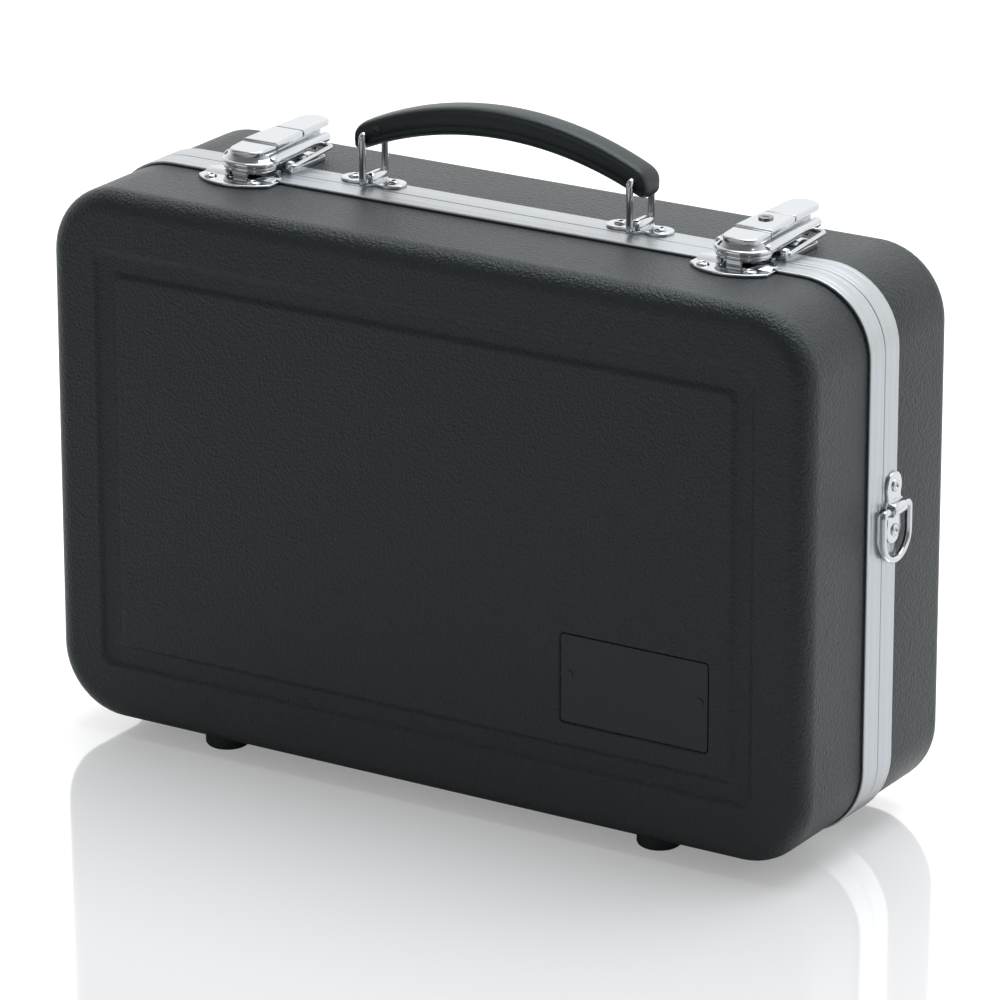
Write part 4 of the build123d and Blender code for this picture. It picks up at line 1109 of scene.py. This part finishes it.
def hasp_sheet():
    """The plate: each row is the outline moved in and set at a height.

    A row is (inset, height). Rows blend from the front's double ring to the plain side by the
    smooth step 3 s squared minus 2 s cubed, where s goes from 0 to 1 over RING_FADE in y.
    """
    outline = hasp_outline()
    normal = outline_normals(outline)
    share = np.clip((outline[:, 1] - RING_END) / RING_FADE, 0, 1)
    blend = (share**2 * (3 - 2 * share))[None]
    front = np.array(RIM_FRONT_ROWS).T[:, :, None]
    plain = np.array(RIM_SIDE_ROWS).T[:, :, None]
    inset, height = front * (1 - blend) + plain * blend
    x = outline[:, 0] - inset * normal[:, 0]
    y = outline[:, 1] - inset * normal[:, 1]
    return grid_patch(np.stack([x, y, height], -1), first_end=True, last_end=True)


def hasp_roll(sign):
    """A rolled side: a tube with a round nose in front and an open bore behind.

    It is turned about y and then sheared, x = x0 - slope (y - front), to follow the plate.
    """
    front, rear = ROLL_FRONT, HASP_REAR
    profile = [
        (0.2, front - 1.5), (1.1, front - 1.2), (1.8, front - 0.5), (ROLL_RADIUS, front + 0.5),
        (ROLL_RADIUS, rear - 0.5), (1.95, rear - 0.15), (1.7, rear), (1.4, rear - 0.1),
        (1.25, rear - 0.5), (1.2, rear - 5), (0.2, rear - 5.2),
    ]
    seat = (sign * (HASP_HALF - ROLL_RADIUS), 0, ROLL_RISE)
    points, faces = turned_patch(profile, seat, "y", 28)
    slope = (HASP_HALF - HASP_REAR_HALF) / (rear - front)
    points[:, 0] -= sign * slope * (points[:, 1] - front)
    return points, faces


def hasp_lug(sign):
    """A lug below the plate that the bail's bar passes through."""
    corners = [
        (LUG_MIDDLE - LUG_HALF, LUG_LOW), (LUG_MIDDLE + LUG_HALF, LUG_LOW),
        (LUG_MIDDLE + LUG_HALF, LUG_HIGH), (LUG_MIDDLE - LUG_HALF, LUG_HIGH),
    ]
    side = round_corners(corners, [1.4, 1.4, 0, 0], 5)
    return cross_plate(side, LUG_INNER, LUG_OUTER, 0.3, 0.3, sign)


def make_hasp_plate(side):
    """Sheet, two rolls and two lugs in one piece."""
    name = f"hasp_plate_{side}"
    patches = [hasp_sheet()] + [make(sign) for make in (hasp_roll, hasp_lug) for sign in (-1, 1)]
    make_latch_part(name, patches, name, f"hasp_{side}")


# %% [markdown]
# ## Hasp covers
#
# The cover is what a thumb touches: a front tab, a middle with the lock in it, and a finger
# tip that overhangs the base. Two grooves part them. Each is a block on a rounded outline with
# a rolled upper edge, and a dished ring carries the tab.

# %% Hasp covers
COVER_HALF = 8.3
COVER_REAR_HALF = 7.1
COVER_LOW = 8.1
COVER_EDGE = 0.9
CONE_LEVELS = [(1.2, 6.3), (1.35, 6.5), (1.9, 7.0), (2.5, 7.7), (2.8, 8.15), (3.6, 8.3)]
CONE_BACK = ROLL_FRONT - 0.3
FOOT_FRONT, FOOT_BACK = -7.5, HASP_REAR - 0.3
FOOT_FRONT_HALF, FOOT_REAR_HALF = 7.95, 5.9
FOOT_LOW, FOOT_TOP = 6.3, 8.6
TAB_FRONT = -13.2
TAB_FRONT_HALF = 7.6
TAB_CORNER = 5.5
TAB_LOW, TAB_TOP = 7.9, 10.6
TAB_TILT = 0.35
GROOVE_FRONT, GROOVE_BACK = -0.2, 0.5
MIDDLE_BACK = 20.6
MIDDLE_TOP = 11.8
MIDDLE_TILT = 0.5
FINGER_FRONT, FINGER_TIP = 21.3, 44.3
FINGER_CORNER = 6.9
FINGER_LOW, FINGER_TOP = 9.3, 11.5
STEM_BACK = 34.0
STEM_HALF = 6.5
STEM_TOP = 10.4


def block_patch(corners, radii, low, high, edge, tilt=0.0, steps=8):
    """A block on a rounded outline with a round upper edge.

    Each row is rounded afresh from corners moved in by its inset, with radius - inset, so that
    no row crosses itself. tilt lowers the top towards the front over the block's own length.
    """
    corners, radii = np.array(corners), np.broadcast_to(radii, len(corners))
    inwards = np.sign(corners.mean(0) - corners)
    levels = [(0.15, low), (0.0, low + 0.15), (0.0, high - edge)]
    levels += round_edge(edge, high, 6)[1:] + [(edge + 0.4, high)]
    rows = []
    for inset, height in levels:
        outline = round_corners(corners + inset * inwards, np.maximum(radii - inset, 0.05), steps)
        rows.append(np.column_stack([outline, np.full(len(outline), height)]))
    rows = np.array(rows)
    share = (corners[:, 1].max() - rows[..., 1]) / np.ptp(corners[:, 1])
    rows[..., 2] -= tilt * share * (rows[..., 2] - low) / (high - low)
    return grid_patch(rows, first_end=True, last_end=True)


def cone_patch():
    """The dished ring round the tab's foot, cut off where the rolled sides begin."""
    points, faces = plate_patch(hasp_outline(), CONE_LEVELS)
    points[:, 1] = np.minimum(points[:, 1], CONE_BACK)
    return points, faces


def cover_patches():
    """Cone, foot, front tab, middle, finger tip and the stem below it."""
    foot = tapered(FOOT_FRONT, FOOT_BACK, FOOT_FRONT_HALF, FOOT_REAR_HALF)
    tab = tapered(TAB_FRONT, GROOVE_FRONT, TAB_FRONT_HALF, COVER_HALF)
    middle = tapered(GROOVE_BACK, MIDDLE_BACK, COVER_HALF, COVER_REAR_HALF)
    finger = tapered(FINGER_FRONT, FINGER_TIP, COVER_REAR_HALF, COVER_REAR_HALF)
    stem = tapered(FINGER_FRONT, STEM_BACK, STEM_HALF, STEM_HALF)
    tab_radii = [TAB_CORNER, TAB_CORNER, 0.3, 0.3]
    finger_radii = [0.4, 0.4, FINGER_CORNER, FINGER_CORNER]
    return [
        cone_patch(),
        block_patch(foot, 0.6, FOOT_LOW, FOOT_TOP, 0.3),
        block_patch(tab, tab_radii, TAB_LOW, TAB_TOP, COVER_EDGE, TAB_TILT, steps=12),
        block_patch(middle, 0.45, COVER_LOW, MIDDLE_TOP, COVER_EDGE, MIDDLE_TILT),
        block_patch(finger, finger_radii, FINGER_LOW, FINGER_TOP, COVER_EDGE, steps=14),
        block_patch(stem, 0.8, COVER_LOW, STEM_TOP, 0.3),
    ]


for side in ("left", "right"):
    make_hasp_plate(side)
    make_latch_part(
        f"hasp_cover_{side}", cover_patches(), f"hasp_plate_{side}", f"hasp_{side}"
    )

# %% [markdown]
# ## The plush tray
#
# The body holds a moulded foam block under plush, with a well for each joint of the clarinet.
# Plush rolls over an edge instead of following it, so the tray's face is one height field: the
# depth of the deepest well at each point, blurred by a few millimetres. A long joint lies in a
# trough, the bell in half a cone, and small things in two square wells at the right.

# %% Depths of the wells
TRAY_FIT = 2.4
TRAY_BACK_ROUND = 8.0
ROLL_MM = 2.0
tray_low, tray_high = node_box("instrument_tray")
tray_half = (tray_high - tray_low)[[0, 2]] / 2
# gap from the left end, length, sign of the edge it lies by, drop from there, width, depth
LONG_WELLS = [
    (10.5, 270.0, 1, 32.5, 42.0, 31.0), (36.5, 236.0, 1, 80.5, 40.0, 30.0),
    (136.5, 74.0, -1, 82.5, 40.0, 29.0), (136.5, 96.0, -1, 30.5, 36.0, 27.0),
]
BELL_GAP = 10.5
BELL_LENGTH = 114.0
BELL_RADIUS_LEFT, BELL_RADIUS_RIGHT = 20.0, 41.0
BELL_DROP = 55.5
# width, sign of the edge it lies by
BOX_WELLS = [(46.0, 1), (84.0, -1)]
BOX_DEPTH = 36.0
BOX_END_GAP = 8.5
BOX_EDGE_GAP = 10.5
BOX_MIDDLE_GAP = 12.0


def trough_depth(x, z, well):
    """Depth of a round trough: depth - radius + sqrt(radius squared - offset squared)."""
    gap, length, sign, drop, width, depth = well
    offset = z - sign * (tray_half[1] - drop)
    along = x + tray_half[0] - gap - length / 2
    inside = (np.abs(offset) < width / 2) & (np.abs(along) < length / 2)
    round_part = np.sqrt(np.clip((width / 2) ** 2 - offset**2, 0, None))
    return inside * (depth - width / 2 + round_part)


def bell_depth(x, z):
    """Depth of the bell's well: sqrt(radius squared - offset squared), the radius growing."""
    share = (x + tray_half[0] - BELL_GAP) / BELL_LENGTH
    radius = BELL_RADIUS_LEFT + (BELL_RADIUS_RIGHT - BELL_RADIUS_LEFT) * share
    offset = z - (BELL_DROP - tray_half[1])
    return ((share > 0) & (share < 1)) * np.sqrt(np.clip(radius**2 - offset**2, 0, None))


def box_depth(x, z, width, sign):
    """Depth of a square well for small things, right of the long ones."""
    height = tray_half[1] - BOX_MIDDLE_GAP - BOX_EDGE_GAP
    along = x - (tray_half[0] - BOX_END_GAP - width / 2)
    across = z - sign * (BOX_MIDDLE_GAP + height / 2)
    return (np.abs(along) < width / 2) * (np.abs(across) < height / 2) * BOX_DEPTH


def blurred(field, reach):
    """The field averaged along both axes with weights exp(-(n / reach) squared)."""
    count = np.arange(-2 * reach, 2 * reach + 1)
    weight = np.exp(-((count / reach) ** 2))
    weight /= weight.sum()
    for axis in (0, 1):
        pad = [(2 * reach, 2 * reach) if a == axis else (0, 0) for a in (0, 1)]
        wide = np.pad(field, pad, mode="edge")
        window = np.lib.stride_tricks.sliding_window_view(wide, len(count), axis)
        field = window @ weight
    return field


print("tray half size", np.round(tray_half, 1))

# %% [markdown]
# ## The tray as one padded piece
#
# The face is a grid whose rows run across the case, each one ending on the tub's rounded
# outline. The face's own edge is then carried backwards as a ring: past the valance's flange,
# out to the tub's wall and round the back edge. Face and rings close into one skin.

# %% Tray skin
GRID_MM = 1.6
LINING_FIT = 0.4
FLANGE_END = SEAM_Y + SEAM_GAP / 2 + FLANGE_DEPTH + LINING_FIT
LINING_CORNER = SHELL_CORNER - SHELL_WALL - LINING_FIT


def back_round():
    """(inset, distance from the back) pairs of the round back edge, from the side inwards."""
    angle = np.linspace(0, np.pi / 2, 8)
    pairs = TRAY_BACK_ROUND * np.stack([1 - np.cos(angle), 1 - np.sin(angle)], -1)
    return pairs.tolist()


def make_tray():
    """Face grid plus a stack of rings that starts on the face's own edge."""
    half = tray_half - TRAY_FIT
    corner = LINING_CORNER - TRAY_FIT
    z = np.linspace(-half[1], half[1], int(2 * half[1] / GRID_MM))
    u = np.linspace(-1, 1, int(2 * half[0] / GRID_MM))
    over = np.clip(np.abs(z) - (half[1] - corner), 0, corner)
    reach_x = half[0] - corner + np.sqrt(corner**2 - over**2)
    x, z = u[None] * reach_x[:, None], z[:, None] + 0 * u[None]
    depth = np.max(
        [trough_depth(x, z, well) for well in LONG_WELLS]
        + [bell_depth(x, z)] + [box_depth(x, z, *well) for well in BOX_WELLS], 0,
    )
    depth = blurred(depth, round(ROLL_MM / GRID_MM))
    face = np.stack([x, tray_low[1] + depth, z + MIDDLE_Z], -1)
    edge = np.vstack([face[0, :-1], face[:-1, -1], face[-1, :0:-1], face[:0:-1, 0]])
    normal = outline_normals(edge[:, [0, 2]])
    rows = [(0, edge[:, 1]), (0, FLANGE_END), (TRAY_FIT, FLANGE_END)]
    rows += [(TRAY_FIT - inset, tray_high[1] - rise) for inset, rise in back_round()]
    rings = []
    for out, y in rows:
        x, z = edge[:, 0] + out * normal[:, 0], edge[:, 2] + out * normal[:, 1]
        rings.append(np.stack([x, y + 0 * x, z], -1))
    patches = [grid_patch(face, wrap=False), grid_patch(np.array(rings), last_end=True)]
    return make_piece(
        "instrument_tray", patches, lining_plush, "body", sharp_deg=60
    )


make_tray()

# %% [markdown]
# ## The lid's cushion
#
# The lid is lined with a cushion that presses on the joints when the case is shut. It bulges a
# little in the middle and pulls in at the sides, where the plush is glued into the tub.

# %% Lid cushion
lining_low, lining_high = node_box("lid_lining")
LINING_SIDE = 3.0
LINING_PAD = 12.0
CUSHION_CROWN = 3.0
CUSHION_ROLL = 3.2
CUSHION_RUN = 75.0


def make_cushion():
    """Stack of rings from the back edge over the rim to the cushion.

    The cushion's height is CUSHION_ROLL + CUSHION_CROWN times the sine of a quarter turn, and
    its rings move in by CUSHION_RUN times the share of that turn to the power 1.6.
    """
    half = (lining_high - lining_low)[[0, 2]] / 2
    back, rim, pad = lining_low[1], lining_high[1], lining_low[1] + LINING_PAD
    roll = pad - CUSHION_ROLL
    rows = [(inset, back + rise) for inset, rise in back_round()[::-1]]
    rows += [(0, rim - 1.2), (0.4, rim - 0.3), (1.5, rim), (LINING_SIDE - 0.4, rim - 0.3)]
    rows += [(LINING_SIDE, rim - 1.2), (LINING_SIDE, pad - 4), (LINING_SIDE + 0.8, roll)]
    rows += [
        (
            LINING_SIDE + 1.5 + CUSHION_RUN * share**1.6,
            roll + (CUSHION_ROLL + CUSHION_CROWN) * np.sin(share * np.pi / 2),
        )
        for share in np.linspace(0, 1, 16)[1:]
    ]
    stations = [
        (0, MIDDLE_Z, *(half - inset), max(LINING_CORNER - inset, 6.0), y) for inset, y in rows
    ]
    patch = grid_patch(stack_rings(stations), first_end=True, last_end=True)
    return make_piece("lid_lining", [patch], lining_plush, "lid", sharp_deg=60)


make_cushion()

# %% [markdown]
# ## The studio
#
# The case stands on a pale glossy floor in front of white. The camera is a long lens from the
# right and a little above. Its place and its three angles are the ones that give the
# photograph's own perspective.

# %% Camera
VIEW_AZIMUTH = 31.968
VIEW_ELEVATION = 19.267
VIEW_ROLL = -0.078
CAMERA_MM = (1263.6, -2018.6, 943.7)
LENS_MM = 229.05

turn, rise, roll = np.radians([VIEW_AZIMUTH, VIEW_ELEVATION, VIEW_ROLL])
back = np.array([np.sin(turn) * np.cos(rise), -np.cos(turn) * np.cos(rise), np.sin(rise)])
right = np.cross(-back, [0, 0, 1])
right /= np.linalg.norm(right)
upward = np.cross(right, -back)
rolled_right = right * np.cos(roll) + upward * np.sin(roll)
rolled_up = upward * np.cos(roll) - right * np.sin(roll)
camera_data = bpy.data.cameras.new("camera")
camera_data.lens = LENS_MM
camera_data.sensor_width = 36
camera_data.clip_end = 20
camera = bpy.data.objects.new("camera", camera_data)
turned = Matrix(np.stack([rolled_right, rolled_up, back], 1).tolist()).to_4x4()
camera.matrix_world = Matrix.Translation(Vector(CAMERA_MM) * MM) @ turned
bpy.context.scene.collection.objects.link(camera)
bpy.context.scene.camera = camera
bpy.context.scene.view_settings.view_transform = "Standard"
print("camera at", [round(v, 3) for v in camera.location])

# %% [markdown]
# ## Floor and surround
#
# White acrylic both scatters and mirrors. The share of gloss grows with the distance from the
# case, which keeps its reflection in sight down to the picture's lower edge, and a faint glow
# that only the camera sees brings the floor up to white. The surround is seen only in
# reflections: bright behind and above, where the softboxes' screens would stand, and dim in
# front, which keeps the case's front face dark. The camera itself sees plain white.

# %% Floor, surround and lamps
FLOOR_SIZE = 12.0
floor_mesh = bpy.data.meshes.new("floor")
half = FLOOR_SIZE / 2
floor_mesh.from_pydata(
    [(-half, -half, 0), (half, -half, 0), (half, half, 0), (-half, half, 0)], [], [(0, 1, 2, 3)]
)
floor = bpy.data.objects.new("floor", floor_mesh)
bpy.context.scene.collection.objects.link(floor)

floor_finish = bpy.data.materials.new("white_acrylic_floor")
floor_finish.use_nodes = True
tree = floor_finish.node_tree
tree.nodes.clear()
matt = add_node(tree, "ShaderNodeBsdfDiffuse", {"Color": (0.96, 0.96, 0.96, 1)})
gloss = add_node(tree, "ShaderNodeBsdfGlossy", {"Color": (1, 1, 1, 1), "Roughness": 0.07})
place = add_node(tree, "ShaderNodeTexCoord").outputs["Object"]
reach = add_node(tree, "ShaderNodeVectorMath", {"operation": "LENGTH"}, i0=place)
gloss_share = add_node(
    tree, "ShaderNodeMapRange",
    {"From Min": 0.1, "From Max": 0.75, "To Min": 0.3, "To Max": 0.62},
    Value=reach.outputs["Value"],
)
acrylic = add_node(
    tree, "ShaderNodeMixShader",
    i0=gloss_share.outputs[0], i1=matt.outputs[0], i2=gloss.outputs[0],
)
path = add_node(tree, "ShaderNodeLightPath")
glow = add_node(tree, "ShaderNodeEmission", {"Color": (1, 1, 1, 1), "Strength": 0.28})
lifted = add_node(tree, "ShaderNodeAddShader", i0=acrylic.outputs[0], i1=glow.outputs[0])
chosen = add_node(
    tree, "ShaderNodeMixShader",
    i0=path.outputs["Is Camera Ray"], i1=acrylic.outputs[0], i2=lifted.outputs[0],
)
add_node(tree, "ShaderNodeOutputMaterial", Surface=chosen.outputs[0])
floor_mesh.materials.append(floor_finish)

world = bpy.data.worlds.new("studio")
bpy.context.scene.world = world
world.use_nodes = True
tree = world.node_tree
tree.nodes.clear()
sky_place = add_node(tree, "ShaderNodeTexCoord").outputs["Generated"]
axes = add_node(tree, "ShaderNodeSeparateXYZ", Vector=sky_place)


def along_axis(name, stops):
    """A ramp over the surround's direction: its name axis, from -1 to 1, as 0 to 1."""
    share = add_node(
        tree, "ShaderNodeMapRange", {"From Min": -1.0, "From Max": 1.0}, Value=axes.outputs[name]
    )
    return ramp(tree, share.outputs[0], stops)


front_to_back = along_axis("Y", [(0.0, 0.14), (0.35, 0.2), (0.62, 0.75), (0.85, 1.0)])
above = along_axis("Z", [(0.0, 0.6), (0.5, 0.95), (0.7, 1.0), (1.0, 0.75)])
soft = add_node(
    tree, "ShaderNodeMix", {"data_type": "RGBA", "blend_type": "MULTIPLY", 0: 1.0},
    i6=front_to_back, i7=above,
)
surround = add_node(tree, "ShaderNodeBackground", {"Strength": 1.25}, Color=soft.outputs[2])
white = add_node(tree, "ShaderNodeBackground", {"Color": (1, 1, 1, 1), "Strength": 1.0})
path = add_node(tree, "ShaderNodeLightPath")
shown = add_node(
    tree, "ShaderNodeMixShader",
    i0=path.outputs["Is Camera Ray"], i1=surround.outputs[0], i2=white.outputs[0],
)
add_node(tree, "ShaderNodeOutputWorld", Surface=shown.outputs[0])


def softbox(name, place, target, size, power, colour):
    """A rectangular lamp at place, in metres, that faces target."""
    data = bpy.data.lights.new(name, "AREA")
    data.shape = "RECTANGLE"
    data.size, data.size_y = size
    data.energy = power
    data.color = linear(colour)[:3]
    lamp = bpy.data.objects.new(name, data)
    facing = (Vector(target) - Vector(place)).to_track_quat("-Z", "Y").to_matrix().to_4x4()
    lamp.matrix_world = Matrix.Translation(place) @ facing
    bpy.context.scene.collection.objects.link(lamp)


AIM = (0, 0, 0.12)
softbox("top_softbox", (0.1, 0.5, 1.9), AIM, (1.8, 1.4), 26, "#f6faff")
softbox("right_softbox", (1.9, 0.2, 0.9), AIM, (1.0, 1.2), 1.5, "#f6faff")
softbox("front_fill", (-0.8, -2.2, 1.2), AIM, (1.6, 1.2), 4, "#ffffff")
